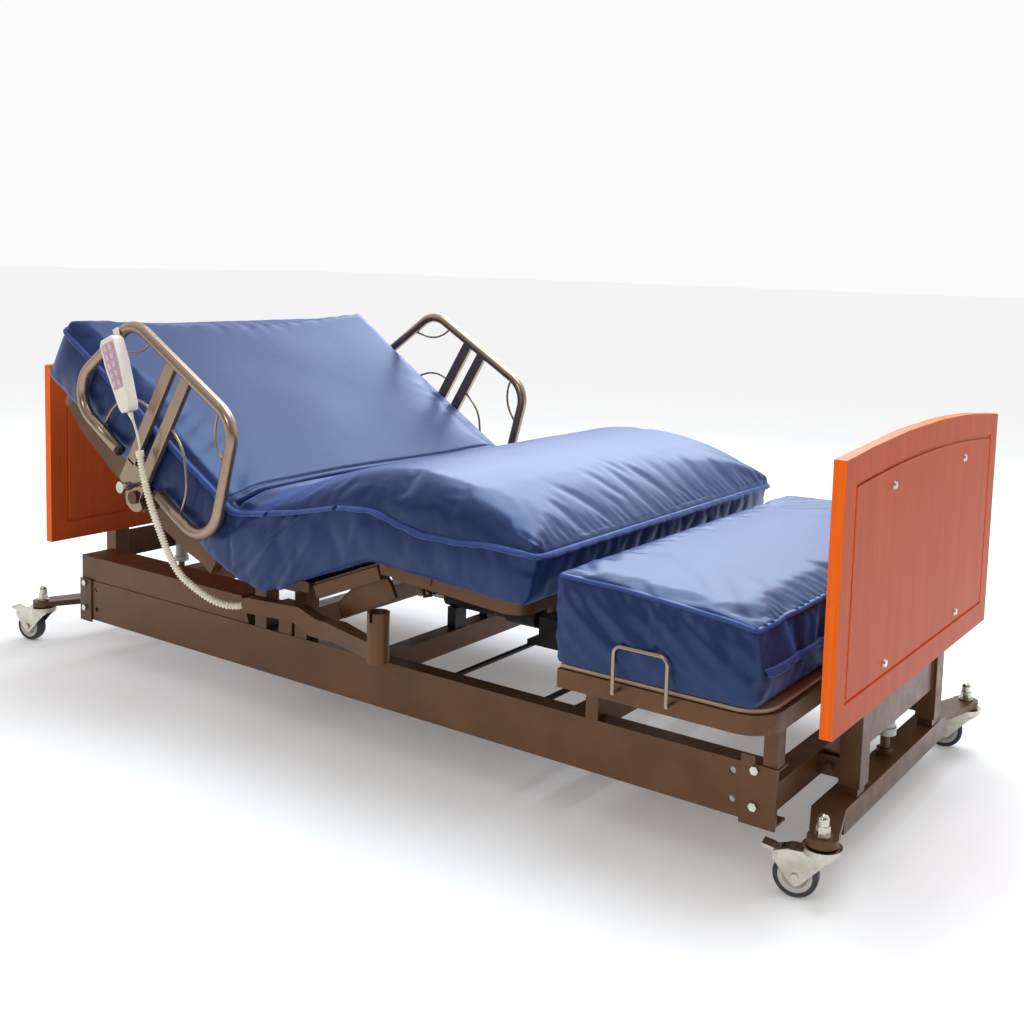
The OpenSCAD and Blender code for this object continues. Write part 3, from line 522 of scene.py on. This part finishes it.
def profile(table):
    """Smooth underside and top of a mattress in the XZ plane, by distance along it.
    Each row is the distance, then the underside's x and z and the top's x and z, in millimetres."""
    reach, spread = 40, 13.0
    rows = np.array(table, float) * MM
    fine = np.arange(0, rows[-1, 0] + 1e-9, 0.001)
    lines = [np.interp(fine, rows[:, 0], rows[:, k]) for k in range(1, 5)]
    kernel = np.exp(-0.5 * (np.arange(-reach, reach + 1) / spread) ** 2)
    kernel /= kernel.sum()
    smooth = []
    for line in lines:
        head = 2 * line[0] - line[reach:0:-1]
        tail = 2 * line[-1] - line[-2:-reach - 2:-1]
        smooth.append(np.convolve(np.concatenate([head, line, tail]), kernel, "valid"))
    return fine, smooth


def box_grid(lengths, widths, heights):
    """The surface of a box in quads: each vertex's (length, width, height), and the faces."""
    counts = [len(lengths) - 1, len(widths) - 1, len(heights) - 1]
    index, cells, faces = {}, [], []

    def vertex(key):
        if key not in index:
            index[key] = len(cells)
            cells.append((lengths[key[0]], widths[key[1]], heights[key[2]]))
        return index[key]

    for axis in range(3):
        u, v = (axis + 1) % 3, (axis + 2) % 3
        for level in (0, counts[axis]):
            for i in range(counts[u]):
                for j in range(counts[v]):
                    corners = []
                    for di, dj in ((0, 0), (1, 0), (1, 1), (0, 1)):
                        key = [0, 0, 0]
                        key[axis], key[u], key[v] = level, i + di, j + dj
                        corners.append(vertex(tuple(key)))
                    faces.append(corners if level else corners[::-1])
    return np.array(cells), faces


def rounded_box(cells, size, edge_top, edge_bottom):
    """Rounds the edges of a box from (0, -width, 0) to size. The top radius may vary by vertex."""
    length, width, height = size
    radius = np.where(cells[:, 2] > height / 2, edge_top, edge_bottom)
    low = np.stack([radius, -width + radius, np.full_like(radius, edge_bottom)], 1)
    high = np.stack([length - radius, width - radius, np.full_like(radius, height) - edge_top], 1)
    core = np.clip(cells, low, high)
    off = cells - core
    reach = np.linalg.norm(off, axis=1, keepdims=True)
    return np.where(reach > 1e-9, core + off / np.maximum(reach, 1e-9) * radius[:, None], cells)


def wrap(points, height, shape):
    """From mattress coordinates (distance along, across, up) to the row frame."""
    fine, (low_x, low_z, top_x, top_z) = shape
    share = points[:, 2] / height
    place = np.clip(points[:, 0], fine[0], fine[-1])
    x = np.interp(place, fine, low_x) * (1 - share) + np.interp(place, fine, top_x) * share
    z = np.interp(place, fine, low_z) * (1 - share) + np.interp(place, fine, top_z) * share
    return np.stack([x, points[:, 1], z], 1)


CLOTH_FRAMES = 20


def simulate(obj, pins, growth, pressure, cap):
    """Cloth under pressure, held where pins is above 0. No point ends up further than cap from its
    start."""
    start = np.array([v.co for v in obj.data.vertices])
    group = obj.vertex_groups.new(name="seams")
    for weight in np.unique(pins[pins > 0]):
        group.add([int(i) for i in np.nonzero(pins == weight)[0]], float(weight), "REPLACE")
    cloth = obj.modifiers.new("cloth", "CLOTH")
    settings = cloth.settings
    settings.quality = 5
    settings.mass = 0.25
    settings.tension_stiffness = 18
    settings.compression_stiffness = 12
    settings.shear_stiffness = 6
    settings.bending_stiffness = 0.35
    settings.use_pressure = True
    settings.uniform_pressure_force = pressure
    settings.vertex_group_mass = "seams"
    settings.pin_stiffness = 2
    settings.shrink_min = -growth
    settings.effector_weights.gravity = 0
    cloth.collision_settings.use_collision = False
    scene = bpy.context.scene
    for step in range(1, CLOTH_FRAMES + 1):
        scene.frame_set(step)
    graph = bpy.context.evaluated_depsgraph_get()
    moved = obj.evaluated_get(graph).to_mesh()
    end = np.array([v.co for v in moved.vertices])
    obj.modifiers.clear()
    scene.frame_set(1)
    shift = end - start
    reach = np.linalg.norm(shift, axis=1, keepdims=True)
    shift *= np.minimum(1, cap / np.maximum(reach, 1e-9))
    obj.data.vertices.foreach_set("co", (start + shift).ravel())
    obj.vertex_groups.clear()
    obj.data.update()


def store(obj, name, values):
    attribute = obj.data.attributes.new(name, "FLOAT", "POINT")
    attribute.data.foreach_set("value", np.asarray(values, np.float32))


def stored(obj, name):
    values = np.zeros(len(obj.data.vertices), np.float32)
    obj.data.attributes[name].data.foreach_get("value", values)
    return values


def subdivided(obj):
    modifier = obj.modifiers.new("fine", "SUBSURF")
    modifier.levels = modifier.render_levels = 1
    modifier.subdivision_type = "CATMULL_CLARK"
    return apply_modifiers(obj)


def bump_out(obj, amount):
    """Moves every vertex along its normal."""
    normals = np.array([v.normal for v in obj.data.vertices])
    co = np.array([v.co for v in obj.data.vertices])
    obj.data.vertices.foreach_set("co", (co + normals * np.asarray(amount)[:, None]).ravel())
    obj.data.update()


def slice_of(obj, name, first, last):
    """A closed copy of the part of a mattress between two distances along it, in cover fabric."""
    copy = bpy.data.objects.new(name, obj.data.copy())
    bpy.context.scene.collection.objects.link(copy)
    bm = bmesh.new()
    bm.from_mesh(copy.data)
    layer = bm.verts.layers.float["along"]
    cut = []
    for face in bm.faces:
        middle = sum(v[layer] for v in face.verts) / len(face.verts)
        if not first < middle < last:
            cut.append(face)
    bmesh.ops.delete(bm, geom=cut, context="FACES")
    loops = [e for e in bm.edges if len(e.link_faces) == 1]
    if loops:
        filled = bmesh.ops.holes_fill(bm, edges=loops, sides=0)
        for edge in loops:
            edge.smooth = False
        bmesh.ops.triangulate(bm, faces=filled["faces"])
    bm.to_mesh(copy.data)
    bm.free()
    for attribute in ("along", "across", "up"):
        copy.data.attributes.remove(copy.data.attributes[attribute])
    copy.data.materials.append(MATERIALS["mattress_fabric"])
    return copy


def wave_noise(points, scale, seed):
    """Smooth noise from -1 to 1 at each point."""
    return np.array([noise.noise(Vector((p[0] * scale[0], p[1] * scale[1], p[2] * scale[2] + seed)))
                     for p in points])


BED_SHAPE = profile([
    (0, *(on_back(0.732, 0.002) / MM).xz, *(on_back(BACK_LENGTH, 0.168) / MM).xz),
    (640, *(on_back(0.087, 0.008) / MM).xz, *(on_back(0.087, 0.168) / MM).xz),
    (690, -262, 352, -203, 500), (730, -225, 343, -166, 500), (800, -160, 343, -105, 517),
    (860, -100, 343, -50, 536), (920, -43, 345, 5, 553), (985, 12, 366, 65, 573),
    (1045, 68, 388, 122, 591), (1105, 124, 411, 180, 601), (1165, 180, 431, 236, 605),
    (1225, 240, 428, 293, 605),
    (1285, 300, 423.5, 350, 600), (1365, 380, 418, 425, 587), (1440, 455, 412.6, 492, 566),
    (1500, 513, 410, 545, 544), (1555, 562, 410, 592, 529)])
BED_LENGTH = 1.555
BED_HEIGHT = 0.160
SEAT_SPLIT = 0.825
THIGH_SPLIT = 1.0375


def flap_drop(along):
    """How far below the top the cover's flap seam lies."""
    places = [0, 0.66, 0.76, 0.92, 1.045, 1.15, 1.22, 1.29, 1.38, 1.47, 1.52, 1.555]
    drops = [0.028, 0.022, 0.024, 0.036, 0.046, 0.060, 0.076, 0.082, 0.072, 0.046, 0.034, 0.030]
    return np.interp(along, places, drops)


def seam_strip(name, line, outward, reach, fall, thick):
    """A folded flap along a seam, in cover fabric painted lighter as a highlight: it stands out by reach and
    hangs by fall.
    """
    verts, faces = [], []
    count = len(line)
    for i, (point, out) in enumerate(zip(line, outward)):
        flutter = 0.22 * noise.noise(point * 38) + 0.12 * noise.noise(point * 95)
        r = reach * (1 + flutter)
        d = fall * (1 + 0.8 * flutter)
        section = ((-0.004, 0.004), (0.45 * r, 0.0022), (r, -0.55 * d), (0.96 * r, -d),
                   (0.90 * r - thick, -d), (r - thick, -0.5 * d - thick), (0.4 * r, -thick),
                   (-0.004, -thick))
        verts += [point + out * o + Vector((0, 0, u)) for o, u in section]
    ring = len(section)
    for i in range(count - 1):
        for k in range(ring):
            a, b = i * ring + k, i * ring + (k + 1) % ring
            faces.append((a, b, b + ring, a + ring))
    faces.append(tuple(range(ring)))
    faces.append(tuple(reversed(range((count - 1) * ring, count * ring))))
    strip = mesh_object(name, verts, faces)
    # The flap takes the lighter fabric, a painted highlight.
    strip.data.materials.append(MATERIALS["flap_fabric_painted_highlight"])
    recalculated(strip.data)
    return strip


def on_surface(body, line, outward):
    """The points of a seam moved onto a body's surface along their outward directions, then
    averaged over five neighbours."""
    search = 0.05
    mesh = body.data
    tree = BVHTree.FromPolygons([v.co for v in mesh.vertices], [p.vertices for p in mesh.polygons])
    snapped = []
    for point, out in zip(line, outward):
        hit = tree.ray_cast(point + out * search, -out, 2 * search)[0]
        snapped.append(hit if hit else point)
    groups = [snapped[max(0, i - 2):i + 3] for i in range(len(snapped))]
    return [sum(group, Vector()) / len(group) for group in groups]


def side_line(shape, height, first, last, width, drop, side):
    """Points of a side seam with the direction that faces out of the mattress."""
    along = np.linspace(first, last, max(3, int((last - first) / SEAM_STEP)))
    rows = [along, np.full_like(along, side * width), height * (1 - drop(along) / height)]
    line = [Vector(p) for p in wrap(np.stack(rows, 1), height, shape)]
    return line, [Vector((0, side, 0))] * len(line)


def end_line(shape, height, place, width, drop, out):
    """Points of the seam across an end, with the direction that faces out."""
    across = np.linspace(-width, width, int(2 * width / SEAM_STEP))
    rows = [np.full_like(across, place), across, np.full_like(across, height - drop)]
    line = [Vector(p) for p in wrap(np.stack(rows, 1), height, shape)]
    return line, [Vector(out)] * len(line)


def round_end_line(shape, height, open_at, closed_at, width, drop, heading, radius):
    """A seam up the near side, round a closed end and back down the far side, with its outward
    directions. A row is the distance along, the one across, then the shares of end and side."""
    corner_steps = 8
    turn = math.copysign(radius, closed_at - open_at)
    count = max(3, int(abs(closed_at - open_at) / SEAM_STEP))
    far = [(along, width, 0.0, 1.0) for along in np.linspace(open_at, closed_at - turn, count)]
    for k in range(1, corner_steps + 1):
        angle = math.radians(90 * k / corner_steps)
        far.append((closed_at - turn + turn * math.sin(angle),
                    width - radius + radius * math.cos(angle), math.sin(angle), math.cos(angle)))
    rows = [(along, -across, end, -side) for along, across, end, side in far]
    rows += [(closed_at, across, 1.0, 0.0)
             for across in np.arange(radius - width + SEAM_STEP, width - radius, SEAM_STEP)]
    rows += far[::-1]
    along = np.array([row[0] for row in rows])
    points = np.stack([along, [row[1] for row in rows], height - drop(along)], 1)
    outward = [(Vector(heading) * row[2] + Vector((0, row[3], 0))).normalized() for row in rows]
    return [Vector(point) for point in wrap(points, height, shape)], outward


def store_cells(block, cells):
    """Keeps each vertex's place in mattress coordinates through subdivision and slicing."""
    for name, column in zip(("along", "across", "up"), cells.T):
        store(block, name, column)


def on_rim(cells, length, half):
    """The vertices of a mattress's sides and ends."""
    near_zero = 1e-6
    return ((np.abs(np.abs(cells[:, 1]) - half) < near_zero) | (cells[:, 0] < near_zero)
            | (cells[:, 0] > length - near_zero))


def bed_mattress():
    """The main mattress in one block, with a finer grid at the hip and rows where it is cut."""
    coarse = list(np.arange(0, BED_LENGTH, FABRIC_CELL)) + [BED_LENGTH]
    fine = list(np.arange(CREASE - 0.05, CREASE + 0.05, 0.004))
    lengths = sorted([x for x in coarse if not CREASE - 0.055 < x < CREASE + 0.055] + fine
                     + [SEAT_SPLIT, THIGH_SPLIT])
    lengths = [lengths[0]] + [b for a, b in zip(lengths, lengths[1:]) if b - a > 0.0015]
    widths = np.linspace(-HALF_WIDTH, HALF_WIDTH, 81)
    heights = np.linspace(0, BED_HEIGHT, 14)
    cells, faces = box_grid(lengths, widths, heights)
    edge_top = np.interp(cells[:, 0], [0, 0.7, 0.95, 1.2, 1.45, 1.555],
                         [0.012, 0.014, 0.030, 0.055, 0.045, 0.028])
    flat = rounded_box(cells, (BED_LENGTH, HALF_WIDTH, BED_HEIGHT), edge_top, 0.012)
    block = mesh_object("bed_block", wrap(flat, BED_HEIGHT, BED_SHAPE), faces)
    store_cells(block, cells)
    off_seam = np.abs(BED_HEIGHT - cells[:, 2] - flap_drop(cells[:, 0]))
    seam = on_rim(cells, BED_LENGTH, HALF_WIDTH) & (off_seam < 0.009)
    pins = np.where(seam | (cells[:, 2] < BASE_BAND), 1.0, 0.0)
    simulate(block, pins, growth=0.012, pressure=2.2, cap=0.012)
    block = subdivided(block)
    shape_cover(block)
    return block


def shape_cover(block):
    """Hip fold, gathers at the calf's end, broad waves on top and the slack of the side panels."""
    along, across, up = (stored(block, name) for name in ("along", "across", "up"))
    points = np.stack([along, across, up], 1).astype(float)
    top = rise(up, BED_HEIGHT - 0.002, 0.002)
    side = (rise(np.abs(across), HALF_WIDTH - 0.004, 0.004)
            * (up < BED_HEIGHT - flap_drop(along)))
    sway = 0.006 * wave_noise(points, (0, 2.2, 0), 3.0)
    fold = -0.024 * np.exp(-((along - CREASE - sway) / 0.0085) ** 2)
    lip = 0.010 * np.exp(-((along - CREASE - sway - 0.030) / 0.020) ** 2)
    second = -0.0035 * np.exp(-((along - CREASE - sway + 0.030) / 0.005) ** 2)
    amount = (fold + lip + second) * top
    end = rise(along, BED_LENGTH - 0.085, 0.085) ** 1.5
    pleat = np.sin(2 * math.pi * across / 0.024 + 2.5 * wave_noise(points, (4, 9, 0), 7.0))
    amount += 0.0022 * end * pleat * top * (0.5 + 0.5 * wave_noise(points, (0, 5, 0), 11.0))
    slack = wave_noise(points, (16, 0, 7), 5.0)
    slanted = np.stack([along * 0.8 - up * 1.1, across, up * 0.35], 1)
    diagonal = wave_noise(slanted, (38, 0, 12), 9.0)
    near_seat = np.clip(1 - np.abs(along - 0.86) / 0.22, 0, 1)
    amount += side * (0.005 * slack + 0.011 * near_seat * diagonal)
    amount += 0.0025 * wave_noise(points, (5, 4, 0), 21.0) * top
    bump_out(block, amount)
    co = np.array([v.co for v in block.data.vertices])
    low_edge = np.clip(1 - up / 0.06, 0, 1)
    co[:, 2] -= 0.030 * side * low_edge * np.clip(1 - np.abs(along - 0.84) / 0.14, 0, 1)
    block.data.vertices.foreach_set("co", co.ravel())
    block.data.update()


def add_section(block, name, first, last, nodes):
    """A closed piece of the main mattress with the flap of its cover, which stands for its pads."""
    body = slice_of(block, name + "_body", first, last)
    if first == BEFORE:
        lines = [round_end_line(BED_SHAPE, BED_HEIGHT, last, 0.0, HALF_WIDTH, flap_drop,
                                HEADWARD, 0.014)]
    elif last == BEYOND:
        lines = [round_end_line(BED_SHAPE, BED_HEIGHT, first, BED_LENGTH, HALF_WIDTH, flap_drop,
                                FOOTWARD, 0.030)]
    else:
        lines = [side_line(BED_SHAPE, BED_HEIGHT, first, last, HALF_WIDTH, flap_drop, side)
                 for side in SIDES.values()]
    flaps = [seam_strip(name + "_flap", on_surface(body, line, out), out, *FLAP)
             for line, out in lines]
    return finish_piece(joined(name, [body] + flaps), "mattress_fabric", None, nodes)


def add_bed_mattress():
    """The main mattress in three pieces, each blended across the joint that it bends at."""
    block = bed_mattress()
    piece = add_section(block, "back_mattress", BEFORE, SEAT_SPLIT, ["back_pad", "seat_pad"])
    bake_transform(piece, "back", "frame", tuple(on_back(0.07, 0.06)), (-0.16, 0, 0.40))
    piece = add_section(block, "seat_mattress", SEAT_SPLIT, THIGH_SPLIT, ["thigh_pad"])
    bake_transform(piece, "frame", "thigh", (-0.09, 0, 0.44), (0.03, 0, 0.47))
    piece = add_section(block, "calf_mattress", THIGH_SPLIT, BEYOND, ["calf_pad"])
    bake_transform(piece, "thigh", "calf", (0.115, 0, 0.50), (0.245, 0, 0.51))
    bpy.data.objects.remove(block)


FOOT_SHAPE = profile([(0, 628, 320, 626, 487), (134, 760, 320, 760, 484),
                      (352, 980, 321, 978, 466), (392, 1018, 324, 1014, 457)])
FOOT_LENGTH = 0.392
FOOT_HEIGHT = 0.160
FOOT_HALF_WIDTH = HALF_WIDTH - 0.004
PIPING = (0.004, 0.0035, 0.0012)
PIPING_DROP = FOOT_HEIGHT * 0.03
ZIP_FLAP = (0.008, 0.010, 0.0014)
ZIP_DROP = 0.085


def foot_block():
    """The foot wedge in one block, with the folds of its cover."""
    half = FOOT_HALF_WIDTH
    lengths = np.linspace(0, FOOT_LENGTH, 38)
    widths = np.linspace(-half, half, 88)
    heights = np.linspace(0, FOOT_HEIGHT, 15)
    cells, faces = box_grid(lengths, widths, heights)
    edge_top = np.full(len(cells), 0.010)
    flat = rounded_box(cells, (FOOT_LENGTH, half, FOOT_HEIGHT), edge_top, 0.014)
    block = mesh_object("foot_block", wrap(flat, FOOT_HEIGHT, FOOT_SHAPE), faces)
    store_cells(block, cells)
    seam = on_rim(cells, FOOT_LENGTH, half) & (cells[:, 2] > FOOT_HEIGHT - 1e-6)
    pins = np.where(seam | (cells[:, 2] < BASE_BAND), 1.0, 0.0)
    simulate(block, pins, growth=0.02, pressure=1.8, cap=0.010)
    block = subdivided(block)
    along, across, up = (stored(block, name) for name in ("along", "across", "up"))
    points = np.stack([along, across, up], 1).astype(float)
    top = rise(up, FOOT_HEIGHT - 0.002, 0.002)
    side = rise(np.abs(across), half - 0.004, 0.004)
    slanted = np.stack([along + up * 1.2, across, up * 0.3], 1)
    diagonal = wave_noise(slanted, (26, 0, 8), 4.0)
    near_edge = rise(np.abs(across), half - 0.22, 0.22)
    fanned = np.stack([along * 1.3 + (half - np.abs(across)) * 0.9, across, up * 0], 1)
    folds = wave_noise(fanned, (17, 2, 0), 15.0)
    end = rise(along, FOOT_LENGTH - 0.05, 0.05)
    pleat = np.sin(2 * math.pi * across / 0.026 + 2.5 * wave_noise(points, (5, 8, 0), 17.0))
    belly = np.sin(math.pi * np.clip(up / FOOT_HEIGHT, 0, 1))
    bump_out(block, 0.006 * side * diagonal * belly
             + top * (0.005 * near_edge * (1 - near_edge) * 4 * folds + 0.0018 * end * pleat))
    return block


def add_foot_mattress():
    """The separate wedge on the foot section, with piping round its top and a flap over its zip."""
    block = foot_block()
    body = slice_of(block, "foot_mattress_body", BEFORE, BEYOND)
    bpy.data.objects.remove(block)
    line, out = round_end_line(FOOT_SHAPE, FOOT_HEIGHT, 0.004, FOOT_LENGTH, FOOT_HALF_WIDTH,
                               lambda along: np.full_like(along, PIPING_DROP), FOOTWARD, 0.010)
    piping = seam_strip("foot_piping", on_surface(body, line, out), out, *PIPING)
    line, out = end_line(FOOT_SHAPE, FOOT_HEIGHT, FOOT_LENGTH, FOOT_HALF_WIDTH - 0.016, ZIP_DROP,
                         FOOTWARD)
    zip_flap = seam_strip("foot_zip_flap", on_surface(body, line, out), out, *ZIP_FLAP)
    piece = joined("foot_mattress", [body, piping, zip_flap])
    finish_piece(piece, "mattress_fabric", "frame", ["foot_pad"])


# ---- Side rails ----

RAIL_LOOP = [(-226, 42), (-18, 42), (-108, 332), (-497, 322), (-612, 41), (-383, 41)]
RAIL_WIRES = [[(-270, 197), (-205, 180), (-150, 110), (-140, 44)],
              [(-459, 42), (-455, 120), (-400, 182), (-340, 190)],
              [(-165, 328), (-152, 262), (-84, 232)],
              [(-420, 324), (-440, 262), (-534, 232)]]
RAIL_Y = 0.525
RAIL_PIVOT = (-280, -12)
LATCH_N = 26
PLATE_OUTER, PLATE_INNER, UPRIGHT_INNER = 0.529, 0.521, 0.515
UPRIGHTS = (-278, -335)


def rounded_path(points, radius):
    """Points in a plane with every inner corner turned into an arc, in steps of up to 6 degrees."""
    step_degrees = 6.0
    path = [Vector(points[0])]
    for a, b, c in zip(points, points[1:], points[2:]):
        a, b, c = Vector(a), Vector(b), Vector(c)
        u, v = (a - b).normalized(), (c - b).normalized()
        half = math.acos(max(-1, min(1, u.dot(v)))) / 2
        centre = b + (u + v).normalized() * radius / math.sin(half)
        p = b + u * radius / math.tan(half) - centre
        q = b + v * radius / math.tan(half) - centre
        start = math.atan2(p.y, p.x)
        turn = (math.pi - 2 * half) * (1 if p.x * q.y - p.y * q.x > 0 else -1)
        steps = max(2, math.ceil(abs(math.degrees(turn)) / step_degrees))
        angles = (start + turn * k / steps for k in range(steps + 1))
        path += [centre + radius * Vector((math.cos(a), math.sin(a))) for a in angles]
    return path + [Vector(points[-1])]


def back_tube(name, points, radius, bend, y, sides):
    """A bent tube in the back section's side plane. Points and radii are in millimetres."""
    path = [on_back(-p.x * MM, p.y * MM, y) for p in rounded_path(points, bend)]
    return tube(name, path, radius * MM, sides)


def plate_on_back(name, outline, y0, y1, bevel, holes=()):
    """A flat plate in the back section's side plane, with rounded edges and round holes."""
    curve = bpy.data.curves.new(name, "CURVE")
    curve.dimensions = "2D"
    curve.fill_mode = "BOTH"
    shapes = [outline] + [[(x + r * math.cos(a), n + r * math.sin(a)) for a in
                           (2 * math.pi * k / 32 for k in range(32))] for x, n, r in holes]
    for shape in shapes:
        spline = curve.splines.new("POLY")
        spline.points.add(len(shape) - 1)
        for point, (x, n) in zip(spline.points, shape):
            point.co = (x * MM, n * MM, 0, 1)
        spline.use_cyclic_u = True
    curve.extrude = (y1 - y0) / 2 - bevel
    curve.bevel_depth = bevel
    curve.bevel_resolution = 2
    curve.offset = -bevel
    shaped = bpy.data.objects.new(name, curve)
    bpy.context.scene.collection.objects.link(shaped)
    bpy.context.view_layer.update()
    graph = bpy.context.evaluated_depsgraph_get()
    mesh = bpy.data.meshes.new_from_object(shaped.evaluated_get(graph))
    bpy.data.objects.remove(shaped)
    middle = (y0 + y1) / 2
    for v in mesh.vertices:
        v.co = on_back(-v.co.x, v.co.y, middle - v.co.z)
    obj = bpy.data.objects.new(name, mesh)
    bpy.context.scene.collection.objects.link(obj)
    smooth_by_angle(obj, 40)
    return obj


def arc(x, n, radius, start, end):
    """Points round a centre from one angle to another, in degrees."""
    count = 16
    angles = (math.radians(start + (end - start) * k / count) for k in range(count + 1))
    return [(x + radius * math.cos(a), n + radius * math.sin(a)) for a in angles]


def add_side_rail(side):
    """Bent tube loop with corner wires and capped ends, two flat uprights and the pivot plate."""
    sign = SIDES[side]
    y = sign * RAIL_Y
    parts = [back_tube("loop", RAIL_LOOP, 13, 72, y, 32)]
    parts += [back_tube("wire", points, 3, 96, y, 12) for points in RAIL_WIRES]
    px, pn = RAIL_PIVOT
    hub = arc(px, pn, 34, 190, 350) + [(px + 16, -8), (px + 16, 52), (px - 68, 52), (px - 68, -8)]
    faces = sorted((sign * PLATE_OUTER, sign * PLATE_INNER))
    parts.append(plate_on_back("hub", hub, *faces, 0.0012, [(px, pn, 10.1), (px, LATCH_N, 6.1)]))
    faces = sorted((sign * PLATE_OUTER, sign * UPRIGHT_INNER))
    for x in UPRIGHTS:
        bar = [(x - 15, 44), (x + 15, 44), (x + 10, 326), (x - 20, 326)]
        parts.append(plate_on_back("upright", bar, *faces, 0.0022))
    for end in (RAIL_LOOP[0], RAIL_LOOP[-1]):
        way = -1 if end[0] > px else 1
        cap = [on_back(-(end[0] + way * t) * MM, end[1] * MM, y) for t in (-6, -4, 3, 5)]
        stub = tube("cap", cap, [0.0128, 0.0134, 0.0134, 0.0110])
        stub.data.materials.append(MATERIALS["black_plastic"])
        parts.append(stub)
    for part in parts[:-2]:
        part.data.materials.clear()
        part.data.materials.append(MATERIALS["rail_paint"])
    rail = joined("rail_loop_" + side, parts)
    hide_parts("side_rail_" + side)
    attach(rail, "rail_" + side)


# ---- Pendant keys and tyres ----

def lathe(name, profile_points, centre, axis):
    """A ring turned about an axis. The profile is closed: (distance along the axis, radius)."""
    steps = 64
    axis = Vector(axis).normalized()
    u = axis.orthogonal().normalized()
    v = axis.cross(u)
    count = len(profile_points)
    verts = [Vector(centre) + axis * t + r * (math.cos(a) * u + math.sin(a) * v)
             for a in (2 * math.pi * k / steps for k in range(steps)) for t, r in profile_points]
    faces = [(k * count + j, k * count + (j + 1) % count, (k + 1) % steps * count + (j + 1) % count,
              (k + 1) % steps * count + j) for k in range(steps) for j in range(count)]
    obj = mesh_object(name, verts, faces)
    recalculated(obj.data)
    return obj


def add_keys():
    """Two columns of raised, unmarked keys on the pendant's panel."""
    sides = 24
    layers = ((0.0006, 1.0), (-0.0006, 1.0), (-0.0011, 0.88), (-0.0012, 0.5))
    ring = [(math.cos(a), math.sin(a)) for a in (2 * math.pi * k / sides for k in range(sides))]
    low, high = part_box("pendant_keypad")
    lean = math.radians(23)
    down = Vector((math.sin(lean), 0, -math.cos(lean)))
    across = Vector((math.cos(lean), 0, math.sin(lean)))
    middle = (low + high) / 2
    keys = []
    for row in range(5):
        for column in (-1, 1):
            centre = middle + down * 0.0205 * (row - 2) + across * column * 0.0085
            centre.y = low.y
            verts, faces = [], []
            for depth, size in layers:
                for c, d in ring:
                    u = 0.0062 * size * math.copysign(abs(c) ** 0.6, c)
                    v = 0.0068 * size * math.copysign(abs(d) ** 0.6, d)
                    verts.append(centre + across * u + down * v + Vector((0, depth, 0)))
            for start in range(0, (len(layers) - 1) * sides, sides):
                faces += [(start + k, start + (k + 1) % sides, start + sides + (k + 1) % sides,
                           start + sides + k) for k in range(sides)]
            faces.append(tuple(range(len(verts) - sides, len(verts))))
            key = mesh_object("key", verts, faces)
            key.data.materials.append(MATERIALS["key_caps"])
            keys.append(key)
    pad = joined("pendant_keys", keys)
    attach(pad, "rail_near")


def add_tyres():
    """Rounded tyres with a shallow bead on each wall. The wheels head 12 degrees off straight."""
    heading = math.radians(12)
    axis = (-math.sin(heading), math.cos(heading), 0)
    for i in range(1, 5):
        low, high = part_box(f"caster_tyre_{i}")
        centre = (low + high) / 2
        outer = (high.z - low.z) / 2
        inner, half = outer - 0.009, 0.012
        ring = [(-half, inner), (-half, inner + 0.002), (-half - 0.0006, inner + 0.0035),
                (-half, inner + 0.005), (-half + 0.0012, outer - 0.0016),
                (-half + 0.004, outer - 0.0003), (0, outer), (half - 0.004, outer - 0.0003),
                (half - 0.0012, outer - 0.0016), (half, inner + 0.005),
                (half + 0.0006, inner + 0.0035), (half, inner + 0.002), (half, inner)]
        tyre = lathe(f"tyre_{i}", ring, centre, axis)
        smooth_by_angle(tyre, 50)
        finish_piece(tyre, "tyre", f"wheel_{i}", [f"caster_tyre_{i}"])


# ---- Pieces that keep the CAD's shape ----

EDGE_WIDTHS = {
    "headboard": 0.0016, "footboard": 0.0016, "side_channel_near": 0.0014,
    "side_channel_far": 0.0014, "foot_deck": 0.0022, "calf_deck": 0.0016, "back_deck": 0.0016,
    "head_covers": 0.0012, "knee_levers": 0.0016, "foot_columns": 0.0018, "head_columns": 0.0018,
    "assist_socket_near": 0.0020, "assist_socket_far": 0.0020, "control_box": 0.0030,
    "hand_pendant": 0.0030, "foot_deck_panel": 0.0020, "rail_mounts": 0.0012, "seat_deck": 0.0014,
    "thigh_deck": 0.0014, "foot_base": 0.0018, "head_base": 0.0018,
}
BOARD_HALF_DEPTH = 0.0095
SMALLEST_BAND = 3e-4


def band_edges(board):
    """Gives a board's narrow edges, all round, the lighter banding."""
    board.data.materials.append(MATERIALS["edge_banding"])
    middle = sum(c[0] for c in board.bound_box) / 8
    for face in board.data.polygons:
        on_edge = abs(face.normal.x) < 0.3 and abs(face.center.x - middle) < BOARD_HALF_DEPTH
        if on_edge and face.area > SMALLEST_BAND:
            face.material_index = 1


def dress_nodes():
    """Rounds the edges of the large nodes. Each CAD node gets its material, its mesh unchanged."""
    slots = {row["node"]: row["material_slot"] for row in frame["record"]["subparts"]}
    for node, width in EDGE_WIDTHS.items():
        piece = softened(node, slots[node], width)
        if node in ("headboard", "footboard"):
            band_edges(piece)
    for node, obj in NODES.items():
        for place in obj.material_slots:
            place.link = "OBJECT"
            place.material = MATERIALS[slots[node]]


add_camera()
add_conduit()
add_pendant_cord()
add_studio()
add_floor()
add_bed_mattress()
add_foot_mattress()
for rail_side in SIDES:
    add_side_rail(rail_side)
add_keys()
add_tyres()
dress_nodes()
